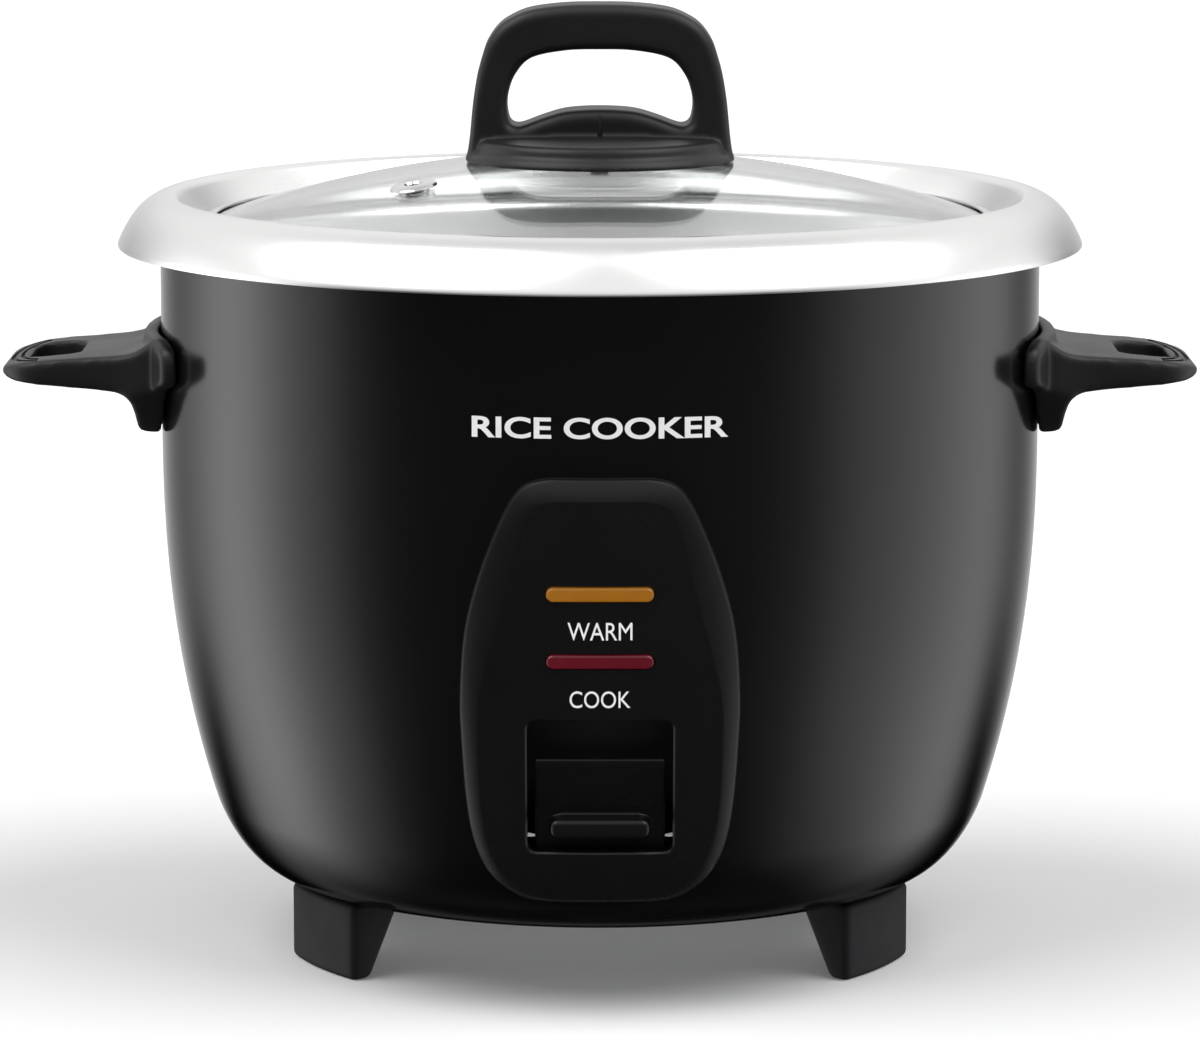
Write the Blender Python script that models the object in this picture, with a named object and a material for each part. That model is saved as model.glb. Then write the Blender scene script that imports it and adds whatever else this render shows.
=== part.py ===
"""Electric rice cooker with a glass lid, modelled as the assembly that comes apart on a bench.

+Z is up. The origin lies on the surface that the cooker stands on, under the centre of the pot. The side
handles lie along X, and the control panel faces -Y. Sizes are in millimetres, and mesh_object() turns them
into metres. Turned outlines are lists of (radius, height).
"""

import math

import bmesh
import bpy
from mathutils import Matrix, Vector

TO_METRES = 0.001

# Clearances
SEAT_GAP = 0.3  # between pieces that rest on, or lie against, each other
CURVED_GAP = 0.7  # between pieces that hug the same curved wall
BORE_GAP = 0.3  # round a screw, a pin or a rod, on the radius
POT_GAP = 1.7  # round the pot, in its liner
LEVER_GAP = 2.0  # round the lever, where it passes the shell

# Facets of the round pieces
ROUND = 36
MIDDLE_ROUND = 20
SMALL_ROUND = 8

# Shell
BODY_RADIUS = 121.2
BODY_HEIGHT = 174.1
FOOT_HEIGHT = 21.5
SHELL_SHEET = 0.8
TAPER_HEIGHT = 123.5  # where the straight wall starts to draw in, above the shell's underside
TAPER_DROP = 13.9  # what the radius loses from there down to the bottom corner
TAPER_POWER = 2.3
CORNER_HEIGHT = 21.5
CORNER_DEPTH = 20.7  # how far the bottom corner reaches in
BOTTOM_HEM = 4.0
TOP_HEM = 5.2
TOP_CORNER = 1.8

# Pot and liner
AIR_SPACE = 13.7  # between the shell and the liner
LINER_SHEET = 0.8
LINER_CORNER = 12.0
MECHANISM_HEIGHT = 35.0  # from the shell's underside to the liner's floor
POT_SHEET = 1.0
POT_CORNER = 14.0
POT_LEDGE = 7.7  # width of the ledge that carries the lid
POT_LIP_OVERHANG = 11.6  # how far the pot's lip stands out past the shell
POT_LIP_DROP = 2.3  # how far the lip turns down below the ledge
POT_CREST = 11.5  # how high the rim stands above the ledge
POT_RECESS_SLOPE = 3.6

# Lid
GLASS_SHEET = 2.8
GLASS_SPHERE = 335.0
GLASS_HOLE = 3.5
RIM_CLEARANCE = 1.3  # between the lid's rim and the pot's recess
RIM_SHEET = 0.5
RIM_HEIGHT = 5.0
RIM_COVER = 4.6  # how far the rim reaches in over the glass
VENT_PLACE = (-50.0, -38.0)
VENT_RADIUS = 6.5
VENT_NECK = 3.7
VENT_BORE = 2.0
GLASS_GAP = 0.4  # between the glass's curved face and what lies on it

# Lid handle
KNOB_BASE_RADIUS = 37.2
KNOB_BASE_HEIGHT = 13.0
KNOB_DEPTH = 19.0
KNOB_ARCH = ((35.6, 8.5), (34.7, 16.0), (33.3, 24.0), (30.8, 31.4), (26.6, 36.8), (19.0, 40.4), (9.0, 41.6))
KNOB_OPENING = ((19.0, 9.2), (24.6, 9.6), (25.5, 14.0), (24.4, 20.0), (21.8, 24.6), (16.5, 27.9), (9.0, 29.2))
KNOB_SCREW_DEPTH = 9.0
WASHER_RADIUS = 8.0
WASHER_SHEET = 1.3

# Feet
FOOT_ANGLE = 29.8  # from the X axis to the middle of a foot
FOOT_SPREAD = 21.7
FOOT_OUTER = 89.5
FOOT_TOE = 6.4  # radial thickness on the floor
FOOT_ROOT = 16.5  # radial thickness under the shell
FOOT_ROOT_HEIGHT = 4.5
FOOT_BOSS = 4.2

# Side handles
HANDLE_DROP = 20.1  # from the shell's top down to the handle's
HANDLE_REACH = 43.5  # from the shell to the tip
HANDLE_LIFT = 4.6
HANDLE_GRIP_HALF = 26.0
HANDLE_TIP_CORNER = 12.0
HANDLE_SLOT_FROM_TIP = 9.0
HANDLE_SLOT = 14.0
HANDLE_SLOT_HALF = 15.0
HANDLE_PLATE = (
    (-32.0, 12.0), (-30.4, 20.5), (-26.5, 26.5), (-20.5, 29.5), (-16.0, 32.5),
    (-12.6, 40.0), (-9.5, 43.0), (-1.2, 43.0), (0.0, 41.0),
)
HANDLE_TOP_LINE = ((0.0, -2.9), (9.5, -3.5), (30.8, -6.5), (38.8, -9.0), (42.4, -11.2))
HANDLE_UNDER_LINE = ((41.3, -16.8), (28.8, -18.0), (12.0, -19.0), (6.5, -22.0), (0.0, -27.0))
HANDLE_SCREW_HALF = 20.0
HANDLE_SCREW_DROP = 11.0

# Control panel: how far each side reaches past the window's, at heights above the shell's underside
PANEL_LIFT = 5.6
PANEL_EDGE = 1.6
PANEL_WALL = 2.0
PANEL_OUTLINE = (
    (11.0, -4.0), (12.5, 3.0), (18.0, 9.2), (26.5, 13.6), (38.5, 15.7), (56.5, 17.1), (68.5, 17.5),
    (85.8, 16.2), (100.6, 12.3), (113.6, 7.5), (121.4, 3.6), (125.1, 0.0), (126.3, -5.5),
)
PANEL_FACE = (
    (12.6, -6.0), (14.2, -0.2), (18.6, 5.6), (26.0, 9.4), (38.5, 10.6), (55.0, 12.2), (65.0, 12.6),
    (80.5, 8.8), (94.0, 5.6), (106.0, 3.2), (114.0, 1.0), (118.6, -1.6), (120.0, -6.5),
)
PANEL_BOSS = 3.6
PANEL_TOP_SCREW = 109.0
PANEL_LOW_SCREWS = 21.0
PANEL_SCREW_MARGIN = 1.8  # between a lower boss and the lever's cut-out
WINDOW_BOTTOM = 26.0
WINDOW_TOP = 62.5
LENS_HALF_LENGTH = 13.9
LENS_HEIGHT = 3.6
LENS_PROUD = 0.6
WARM_LENS_HEIGHT = 96.4
COOK_LENS_HEIGHT = 78.6
LAMP_RADIUS = 2.4
LAMP_LENGTH = 18.0
LAMP_HOLDER_DEPTH = 7.0
LAMP_HOLDER_HALF_WIDTH = 21.0
LAMP_HOLDER_MARGIN = 6.5

# Cook lever and what it works
PIVOT_INSET = 59.2  # from the shell's front to the pivot
PIVOT_HEIGHT = 18.5
PIN_RADIUS = 1.5
ARM_SHEET = 1.5
ARM_HALF_WIDTH = 6.0
ARM_BELOW_PIVOT = 4.5
ARM_FRONT_RISE = 7.5
ARM_PAST_CENTRE = 4.0
EAR_LENGTH = 8.0
BRACKET_SHEET = 1.2
PADDLE_HALF_WIDTH = 17.0
PADDLE_SHEET = 2.0
PADDLE_BOTTOM = 19.2
PADDLE_SCOOP = ((51.5, 2.8), (46.5, 1.4), (41.0, 0.4), (35.5, -0.2), (28.0, 0.0), (PADDLE_BOTTOM, -0.4))
LEDGE_HALF_WIDTH = 13.0
LEDGE_BOTTOM = 30.5
LEDGE_HEIGHT = 4.6
STEM_HALF_WIDTH = 8.6
STEM_HEIGHT = 5.6
STEM_LENGTH = 10.0
SWITCH_BEHIND_PIVOT = 17.0
SWITCH_HEIGHT = 7.4
SWITCH_LENGTH = 14.0
SWITCH_HALF_WIDTH = 5.0
PLUNGER_RADIUS = 1.5
PLUNGER_DEPTH = 4.0

# Heater and thermostat
PLATE_RADIUS = 84.0
PLATE_HEIGHT = 9.9
PLATE_HOLE = 19.5
SPACER_HEIGHT = 0.9
SPACER_RADIUS = 5.0
PLATE_SCREW_CIRCLE = 72.0
ELEMENT_CIRCLE = 56.0
ELEMENT_RADIUS = 3.2
ELEMENT_GAP_ANGLE = 30.0
ELEMENT_DROP = 16.0
LINER_HOLE = 21.0
CAP_RADIUS = 17.5
CAP_SHEET = 1.5
CAP_HEIGHT = 9.0
CAP_TRAVEL = 2.0
FERRITE_RADIUS = 8.0
FERRITE_HEIGHT = 4.4
HOUSING_RADIUS = 14.5
HOUSING_SHEET = 1.0
HOUSING_ABOVE_ARM = 5.75
HOUSING_FLANGE = 29.0
SPRING_RADIUS = 11.0
SPRING_WIRE = 0.6
SPRING_TURNS = 6
MAGNET_RADIUS = 7.5
MAGNET_HEIGHT = 6.0
MAGNET_ROD = 2.0
KEEP_WARM_PLACE = (-42.0, 30.0)
KEEP_WARM_RADIUS = 8.0
KEEP_WARM_HEIGHT = 7.0
FUSE_PLACE = (34.0, 36.0)
FUSE_RADIUS = 2.2
FUSE_LENGTH = 16.0

# Base plate
BASE_SHEET = 1.2
VENT_SLOTS = 12
VENT_SLOT_WIDTH = 4.0
VENT_SLOT_FROM = 26.0
VENT_SLOT_TO = 50.0

# Power inlet, at the back
INLET_ROOM = 2.7  # between the inlet's body and the liner's floor
INLET_HALF_WIDTH = 20.0
INLET_HALF_HEIGHT = 11.5
INLET_STICKS_OUT = 5.0
INLET_INNER_HALF_WIDTH = 14.0
INLET_INNER_HALF_HEIGHT = 9.5
INLET_DEPTH = 20.0
CAVITY_HALF_WIDTH = 12.0
CAVITY_HALF_HEIGHT = 7.5
CAVITY_DEPTH = 14.0
PIN_HALF_WIDTH = 2.0
PIN_HALF_SHEET = 1.0
PIN_LENGTH = 16.0
PIN_PITCH = 7.0

# Screws
SCREW_RADIUS = 1.8
SCREW_HEAD = 3.4
SCREW_HEAD_HEIGHT = 2.0

# Heights worked out from the above
BASE_Z = FOOT_HEIGHT
BODY_TOP = BASE_Z + BODY_HEIGHT
LINER_FLANGE_TOP = BODY_TOP + SEAT_GAP + LINER_SHEET
LEDGE_Z = LINER_FLANGE_TOP + SEAT_GAP + POT_SHEET
LINER_FLOOR = BASE_Z + MECHANISM_HEIGHT
PLATE_BOTTOM = LINER_FLOOR + SPACER_HEIGHT + 2 * SEAT_GAP
PLATE_TOP = PLATE_BOTTOM + PLATE_HEIGHT
POT_FLOOR = PLATE_TOP + SEAT_GAP + POT_SHEET
BASE_PLATE_BOTTOM = BASE_Z + SHELL_SHEET + SEAT_GAP
BASE_PLATE_TOP = BASE_PLATE_BOTTOM + BASE_SHEET
INLET_HEIGHT = MECHANISM_HEIGHT - LINER_SHEET - INLET_ROOM - INLET_INNER_HALF_HEIGHT
PIVOT_Z = BASE_Z + PIVOT_HEIGHT
ARM_Z = PIVOT_Z - ARM_BELOW_PIVOT

# Radii worked out from the above
CORNER_TOP_RADIUS = BODY_RADIUS - TAPER_DROP
CORNER_INNER_RADIUS = CORNER_TOP_RADIUS - CORNER_DEPTH
BASE_OPENING = CORNER_INNER_RADIUS - BOTTOM_HEM
BASE_RADIUS = CORNER_INNER_RADIUS - SEAT_GAP
LINER_RADIUS = BODY_RADIUS - SHELL_SHEET - AIR_SPACE - LINER_SHEET
POT_RADIUS = LINER_RADIUS - POT_GAP - POT_SHEET
LEDGE_OUTER = POT_RADIUS + POT_LEDGE + 1.5
LIP_RADIUS = BODY_RADIUS + POT_LIP_OVERHANG
RIM_RADIUS = LEDGE_OUTER - RIM_CLEARANCE
GLASS_RADIUS = RIM_RADIUS - RIM_SHEET - 2.2
FOOT_SHIFT = CORNER_INNER_RADIUS - 86.6
PIVOT_Y = PIVOT_INSET - BODY_RADIUS
WINDOW_HALF_WIDTH = PADDLE_HALF_WIDTH + LEVER_GAP
LOW_SCREW_SIDE = WINDOW_HALF_WIDTH + PANEL_SCREW_MARGIN + PANEL_BOSS
PANEL_SCREWS = (
    (0.0, PANEL_TOP_SCREW), (LOW_SCREW_SIDE, PANEL_LOW_SCREWS), (-LOW_SCREW_SIDE, PANEL_LOW_SCREWS)
)

MATERIALS = {
    "black_enamel": ((0.008, 0.008, 0.009), 0.12, 0.0),
    "black_plastic": ((0.017, 0.017, 0.018), 0.42, 0.0),
    "stainless_steel": ((0.78, 0.78, 0.77), 0.24, 1.0),
    "aluminium": ((0.72, 0.72, 0.72), 0.38, 1.0),
    "zinc_steel": ((0.58, 0.58, 0.56), 0.4, 1.0),
    "spring_steel": ((0.45, 0.45, 0.46), 0.35, 1.0),
    "brass": ((0.72, 0.5, 0.2), 0.3, 1.0),
    "clear_glass": ((0.85, 0.9, 0.88), 0.04, 0.0),
    "amber_lens": ((0.3, 0.13, 0.02), 0.2, 0.0),
    "red_lens": ((0.12, 0.005, 0.015), 0.2, 0.0),
    "ferrite": ((0.06, 0.06, 0.065), 0.6, 0.0),
    "silicone": ((0.7, 0.7, 0.68), 0.6, 0.0),
}


# Scene and meshes


def clear_scene():
    """Remove what the scene holds at the start."""
    for obj in list(bpy.data.objects):
        bpy.data.objects.remove(obj)


def material(name):
    """Return the Principled material of this name, and make it the first time."""
    found = bpy.data.materials.get(name)
    if found:
        return found
    colour, roughness, metallic = MATERIALS[name]
    made = bpy.data.materials.new(name)
    made.use_nodes = True
    shader = made.node_tree.nodes["Principled BSDF"]
    shader.inputs["Base Color"].default_value = (*colour, 1.0)
    shader.inputs["Roughness"].default_value = roughness
    shader.inputs["Metallic"].default_value = metallic
    if name == "clear_glass":
        shader.inputs["Transmission Weight"].default_value = 1.0
    return made


def mesh_object(name, shape, finish=None, origin=(0.0, 0.0, 0.0)):
    """Turn a bmesh in millimetres into an object whose own origin is at `origin`."""
    bmesh.ops.recalc_face_normals(shape, faces=shape.faces[:])
    bmesh.ops.translate(shape, vec=-Vector(origin), verts=shape.verts[:])
    bmesh.ops.scale(shape, vec=(TO_METRES,) * 3, verts=shape.verts[:])
    mesh = bpy.data.meshes.new(name)
    shape.to_mesh(mesh)
    shape.free()
    obj = bpy.data.objects.new(name, mesh)
    obj.location = Vector(origin) * TO_METRES
    bpy.context.scene.collection.objects.link(obj)
    if finish:
        mesh.materials.append(material(finish))
    return obj


def boolean(target, tool, operation="DIFFERENCE"):
    """Cut, join or intersect `target` with `tool`, keep the result as its mesh and delete the tool."""
    modifier = target.modifiers.new(operation.title(), "BOOLEAN")
    modifier.operation = operation
    modifier.solver = "EXACT"
    modifier.object = tool
    bpy.context.view_layer.update()
    graph = bpy.context.evaluated_depsgraph_get()
    result = bpy.data.meshes.new_from_object(target.evaluated_get(graph))
    target.modifiers.clear()
    target.data = result
    bpy.data.objects.remove(tool)
    return target


def copy_object(source, name, matrix):
    """Place another object that shares the mesh of `source`, moved by `matrix` in millimetres."""
    copied = bpy.data.objects.new(name, source.data)
    matrix = matrix.copy()
    matrix.translation *= TO_METRES
    copied.matrix_world = matrix @ source.matrix_world
    bpy.context.scene.collection.objects.link(copied)
    return copied


def shade_round_faces():
    """Shade every object smooth, except across its real edges."""
    for obj in bpy.data.objects:
        obj.data.shade_smooth()
        obj.data.set_sharp_from_angle(angle=math.radians(32))


# Outlines


def arc(centre, radius, start, end, steps):
    """Points of an arc in a plane, from `start` to `end` in degrees."""
    angles = [math.radians(start + (end - start) * i / steps) for i in range(steps + 1)]
    return [(centre[0] + radius * math.cos(a), centre[1] + radius * math.sin(a)) for a in angles]


def bezier(controls, steps):
    """Points of the Bezier curve with these control points."""
    points = []
    for step in range(steps + 1):
        left = [Vector(control) for control in controls]
        while len(left) > 1:
            left = [a.lerp(b, step / steps) for a, b in zip(left, left[1:])]
        points.append(tuple(left[0]))
    return points


def sheet(path, thickness):
    """Closed outline of a sheet with one face along `path` and the other on its left."""
    points = [Vector(point) for point in path]
    ways = [(b - a).normalized() for a, b in zip(points, points[1:])]
    other = []
    for i, point in enumerate(points):
        before, after = ways[max(i - 1, 0)], ways[min(i, len(ways) - 1)]
        middle = (before + after).normalized()
        left = Vector((-middle.y, middle.x))
        other.append(tuple(point + left * thickness / max(middle.dot(after), 0.5)))
    return [tuple(point) for point in points] + other[::-1]


def rounded_rectangle(x_from, x_to, y_from, y_to, radius, steps=3):
    """Outline of a rectangle with round corners, anticlockwise."""
    corners = ((x_to, y_from, -90), (x_to, y_to, 0), (x_from, y_to, 90), (x_from, y_from, 180))
    points = []
    for x, y, start in corners:
        centre = (x - math.copysign(radius, x - (x_from + x_to) / 2),
                  y - math.copysign(radius, y - (y_from + y_to) / 2))
        points += arc(centre, radius, start, start + 90, steps)
    return points


# Solids, as bmeshes in millimetres


def turned(outline, segments=ROUND):
    """Solid made by turning a closed outline of (radius, height) about Z."""
    shape = bmesh.new()
    rings = []
    for radius, height in outline:
        if radius < 1e-6:
            rings.append([shape.verts.new((0.0, 0.0, height))] * segments)
            continue
        angles = [2 * math.pi * i / segments for i in range(segments)]
        rings.append([shape.verts.new((radius * math.cos(a), radius * math.sin(a), height)) for a in angles])
    for ring, upper in zip(rings, rings[1:] + rings[:1]):
        for i in range(segments):
            j = (i + 1) % segments
            corners = list(dict.fromkeys((ring[i], ring[j], upper[j], upper[i])))
            if len(corners) > 2:
                shape.faces.new(corners)
    return shape


def prism(outline, start, end, axis="Z"):
    """Outline extruded along an axis. It lies in XY for Z, in (Y, Z) for X, and in (X, Z) for Y."""
    place = {
        "X": lambda a, b, depth: (depth, a, b),
        "Y": lambda a, b, depth: (a, depth, b),
        "Z": lambda a, b, depth: (a, b, depth),
    }[axis]
    shape = bmesh.new()
    layers = [[shape.verts.new(place(a, b, depth)) for a, b in outline] for depth in (start, end)]
    for layer in layers:
        shape.faces.new(layer)
    bmesh.ops.bridge_loops(shape, edges=shape.edges[:])
    return shape


def block(x, y, z):
    """Box between pairs of coordinates."""
    size = [pair[1] - pair[0] for pair in (x, y, z)]
    middle = [(pair[1] + pair[0]) / 2 for pair in (x, y, z)]
    shape = bmesh.new()
    bmesh.ops.create_cube(shape, matrix=Matrix.Translation(middle) @ Matrix.Diagonal((*size, 1.0)))
    return shape


def rod(radius, start, end, segments=SMALL_ROUND):
    """Cylinder between two points."""
    start, end = Vector(start), Vector(end)
    way = end - start
    turn = way.to_track_quat("Z", "Y").to_matrix().to_4x4()
    shape = bmesh.new()
    bmesh.ops.create_cone(
        shape, cap_ends=True, segments=segments, radius1=radius, radius2=radius, depth=way.length,
        matrix=Matrix.Translation((start + end) / 2) @ turn,
    )
    return shape


def merged(*shapes):
    """One bmesh that holds several, for use as a cutter."""
    whole = bmesh.new()
    for shape in shapes:
        part = bpy.data.meshes.new("part")
        shape.to_mesh(part)
        shape.free()
        whole.from_mesh(part)
        bpy.data.meshes.remove(part)
    return whole


def cut(target, *shapes):
    """Remove each shape from the target."""
    return boolean(target, mesh_object("cutter", merged(*shapes)))


def join(target, shape):
    """Fuse the shape with the target."""
    return boolean(target, mesh_object("addition", shape), "UNION")


def tube(name, points, radius, finish, resolution=2):
    """Round wire through the points, as a curve with filled ends."""
    curve = bpy.data.curves.new(name, "CURVE")
    curve.dimensions = "3D"
    curve.bevel_depth = radius * TO_METRES
    curve.bevel_resolution = resolution
    curve.use_fill_caps = True
    spline = curve.splines.new("POLY")
    spline.points.add(len(points) - 1)
    for spot, point in zip(spline.points, points):
        spot.co = (*(Vector(point) * TO_METRES), 1.0)
    wire = bpy.data.objects.new(name, curve)
    bpy.context.scene.collection.objects.link(wire)
    bpy.context.view_layer.update()
    mesh = bpy.data.meshes.new_from_object(wire.evaluated_get(bpy.context.evaluated_depsgraph_get()))
    bpy.data.objects.remove(wire)
    shape = bmesh.new()
    shape.from_mesh(mesh)
    bmesh.ops.remove_doubles(shape, verts=shape.verts[:], dist=1e-6)
    bmesh.ops.scale(shape, vec=(1 / TO_METRES,) * 3, verts=shape.verts[:])
    return mesh_object(name, shape, finish)


# The shell's outside, which many pieces follow


def body_outline():
    """Outside of the shell, from its hem underneath up to the top corner."""
    top_of_taper = BASE_Z + TAPER_HEIGHT
    top_of_corner = BASE_Z + CORNER_HEIGHT
    corner = bezier(
        (
            (CORNER_INNER_RADIUS, BASE_Z),
            (CORNER_TOP_RADIUS - 9.6, BASE_Z + 0.3),
            (CORNER_TOP_RADIUS - 2.2, top_of_corner - 7.0),
            (CORNER_TOP_RADIUS, top_of_corner),
        ),
        4,
    )
    steps = 4
    taper = []
    for step in range(1, steps + 1):
        share = 1 - step / steps
        height = top_of_taper - share * (top_of_taper - top_of_corner)
        taper.append((BODY_RADIUS - TAPER_DROP * share**TAPER_POWER, height))
    return corner + taper


def body_radius(height):
    """Radius of the shell's outside at this height."""
    outline = body_outline()
    for (r1, z1), (r2, z2) in zip(outline, outline[1:]):
        if z1 <= height < z2:
            return r1 + (r2 - r1) * (height - z1) / (z2 - z1)
    return BODY_RADIUS if height >= BASE_Z else CORNER_INNER_RADIUS


def on_body(side, height, lift, direction):
    """Point `lift` outside the shell and `side` to the right, seen from `direction` in degrees."""
    radius = body_radius(height) + lift
    ahead = math.sqrt(radius**2 - side**2)
    return Matrix.Rotation(math.radians(direction), 3, "Z") @ Vector((ahead, side, height))


def wrapped(layers, direction, columns=8):
    """Solid that hugs the shell. Each layer is (lift, rows), and each row (height, half width)."""
    shape = bmesh.new()
    grids = []
    for lift, rows in layers:
        grid = []
        for height, half in rows:
            sides = [half * (2 * i / columns - 1) for i in range(columns + 1)]
            grid.append([shape.verts.new(on_body(side, height, lift, direction)) for side in sides])
        grids.append(grid)
    for grid in (grids[0], grids[-1]):
        for row, upper in zip(grid, grid[1:]):
            for i in range(columns):
                shape.faces.new((row[i], row[i + 1], upper[i + 1], upper[i]))
    for grid in grids[1:-1]:
        for row in grid[1:-1]:
            for vert in row[1:-1]:
                shape.verts.remove(vert)
    edges = [border(grid) for grid in grids]
    for loop, next_loop in zip(edges, edges[1:]):
        for i, vert in enumerate(loop):
            j = (i + 1) % len(loop)
            shape.faces.new((vert, loop[j], next_loop[j], next_loop[i]))
    return shape


def border(grid):
    """Vertices round the edge of a grid, in order."""
    up = [row[-1] for row in grid[1:-1]]
    down = [row[0] for row in grid[-2:0:-1]]
    return grid[0] + up + grid[-1][::-1] + down


def raised(rows, origin):
    """Rows whose heights are moved up to `origin`."""
    return [(height + origin, half) for height, half in rows]


def shrunk(rows, margin):
    """Rows drawn in by the same margin on every side."""
    low, high = rows[0][0], rows[-1][0]
    middle = (low + high) / 2
    scale = 1 - 2 * margin / (high - low)
    return [(middle + (height - middle) * scale, half - margin) for height, half in rows]


# Pieces of the body


def pan_screw(name, head, tip, finish="zinc_steel"):
    """Screw whose shank runs from under its head at `head` to `tip`."""
    head, tip = Vector(head), Vector(tip)
    way = (tip - head).normalized()
    length = (tip - head).length
    outline = [
        (0.0, -SCREW_HEAD_HEIGHT),
        (SCREW_HEAD, -SCREW_HEAD_HEIGHT),
        (SCREW_HEAD, 0.0),
        (SCREW_RADIUS, 0.0),
        (SCREW_RADIUS, length),
        (0.0, length),
    ]
    shape = turned(outline, SMALL_ROUND)
    turn = way.to_track_quat("Z", "Y").to_matrix().to_4x4()
    bmesh.ops.transform(shape, matrix=Matrix.Translation(head) @ turn, verts=shape.verts[:])
    return mesh_object(name, shape, finish)


def screw_hole(start, end):
    """Cutter for the hole that a screw passes with clearance."""
    return rod(SCREW_RADIUS + BORE_GAP, start, end)


def round_places(count, radius, start_angle):
    """Places evenly round a circle."""
    angles = [math.radians(start_angle + 360 * i / count) for i in range(count)]
    return [(radius * math.cos(a), radius * math.sin(a)) for a in angles]


def plate_screw_places():
    return round_places(3, PLATE_SCREW_CIRCLE, 90)


def foot_screw_places():
    radius = BASE_OPENING - CURVED_GAP - FOOT_BOSS
    angles = [math.radians(sign * FOOT_ANGLE + turn) for turn in (0, 180) for sign in (-1, 1)]
    return [(radius * math.cos(a), radius * math.sin(a)) for a in angles]


def make_shell():
    """Painted outer shell with its hems and all its cut-outs."""
    outline = [(BASE_OPENING, BASE_Z)] + body_outline()
    outline += arc((BODY_RADIUS - TOP_CORNER, BODY_TOP - TOP_CORNER), TOP_CORNER, 0, 90, 2)
    outline.append((BODY_RADIUS - TOP_HEM, BODY_TOP))
    shell = mesh_object("outer_shell", turned(sheet(outline, SHELL_SHEET)), "black_enamel")
    inside, outside = LINER_RADIUS * 0.75, BODY_RADIUS + 5
    slot = LENS_HALF_LENGTH + 1.2
    lever_low = BASE_Z + PADDLE_BOTTOM - LEVER_GAP
    lever_high = BASE_Z + WINDOW_TOP + LEVER_GAP
    cutters = [block((-WINDOW_HALF_WIDTH, WINDOW_HALF_WIDTH), (-outside, -inside), (lever_low, lever_high))]
    for height in (WARM_LENS_HEIGHT, COOK_LENS_HEIGHT):
        z = BASE_Z + height
        cutters.append(block((-slot, slot), (-outside, -inside), (z - LENS_HEIGHT, z + LENS_HEIGHT)))
    for side, height in PANEL_SCREWS:
        z = BASE_Z + height
        cutters.append(screw_hole((side, -outside, z), (side, -inside, z)))
    for side in (-1, 1):
        for y in (-HANDLE_SCREW_HALF, HANDLE_SCREW_HALF):
            z = BODY_TOP - HANDLE_DROP - HANDLE_SCREW_DROP
            cutters.append(screw_hole((side * outside, y, z), (side * inside, y, z)))
    z = BASE_Z + INLET_HEIGHT
    half = INLET_INNER_HALF_WIDTH + CURVED_GAP
    tall = INLET_INNER_HALF_HEIGHT + CURVED_GAP
    cutters.append(block((-half, half), (inside, outside), (z - tall, z + tall)))
    return cut(shell, *cutters)


def make_liner():
    """Inner chamber, which hangs from the shell's top and carries the pot and the heater."""
    flange = BODY_RADIUS - TOP_CORNER - 1.0
    outline = [(flange, LINER_FLANGE_TOP)]
    outline += arc((LINER_RADIUS + 2.5, LINER_FLANGE_TOP - 2.5), 2.5, 90, 180, 2)
    centre = (LINER_RADIUS - LINER_CORNER, LINER_FLOOR + LINER_CORNER)
    outline += arc(centre, LINER_CORNER, 0, -90, 3)
    outline.append((LINER_HOLE, LINER_FLOOR))
    liner = mesh_object("inner_liner", turned(sheet(outline, LINER_SHEET)), "aluminium")
    low, high = LINER_FLOOR - 5, LINER_FLOOR + 5
    cutters = [screw_hole((x, y, low), (x, y, high)) for x, y in plate_screw_places()]
    for angle in element_ends():
        x, y = ELEMENT_CIRCLE * math.cos(angle), ELEMENT_CIRCLE * math.sin(angle)
        cutters.append(rod(ELEMENT_RADIUS + 1.2, (x, y, low), (x, y, high)))
    return cut(liner, *cutters)


def make_base_plate():
    """Bottom cover, laid on the shell's hem, with a ring of vent slots."""
    outline = [
        (0.0, BASE_PLATE_BOTTOM),
        (BASE_RADIUS, BASE_PLATE_BOTTOM),
        (BASE_RADIUS, BASE_PLATE_TOP),
        (0.0, BASE_PLATE_TOP),
    ]
    plate = mesh_object("base_plate", turned(outline), "zinc_steel")
    low, high = BASE_PLATE_BOTTOM - 5, BASE_PLATE_TOP + 5
    cutters = [screw_hole((x, y, low), (x, y, high)) for x, y in foot_screw_places()]
    for i in range(VENT_SLOTS):
        slot = prism(
            rounded_rectangle(
                VENT_SLOT_FROM, VENT_SLOT_TO, -VENT_SLOT_WIDTH / 2, VENT_SLOT_WIDTH / 2,
                VENT_SLOT_WIDTH / 2 - 0.1, 2,
            ),
            low, high,
        )
        turn = Matrix.Rotation(math.radians(15 + 360 * i / VENT_SLOTS), 4, "Z")
        bmesh.ops.transform(slot, matrix=turn, verts=slot.verts[:])
        cutters.append(slot)
    return cut(plate, *cutters)


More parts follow.
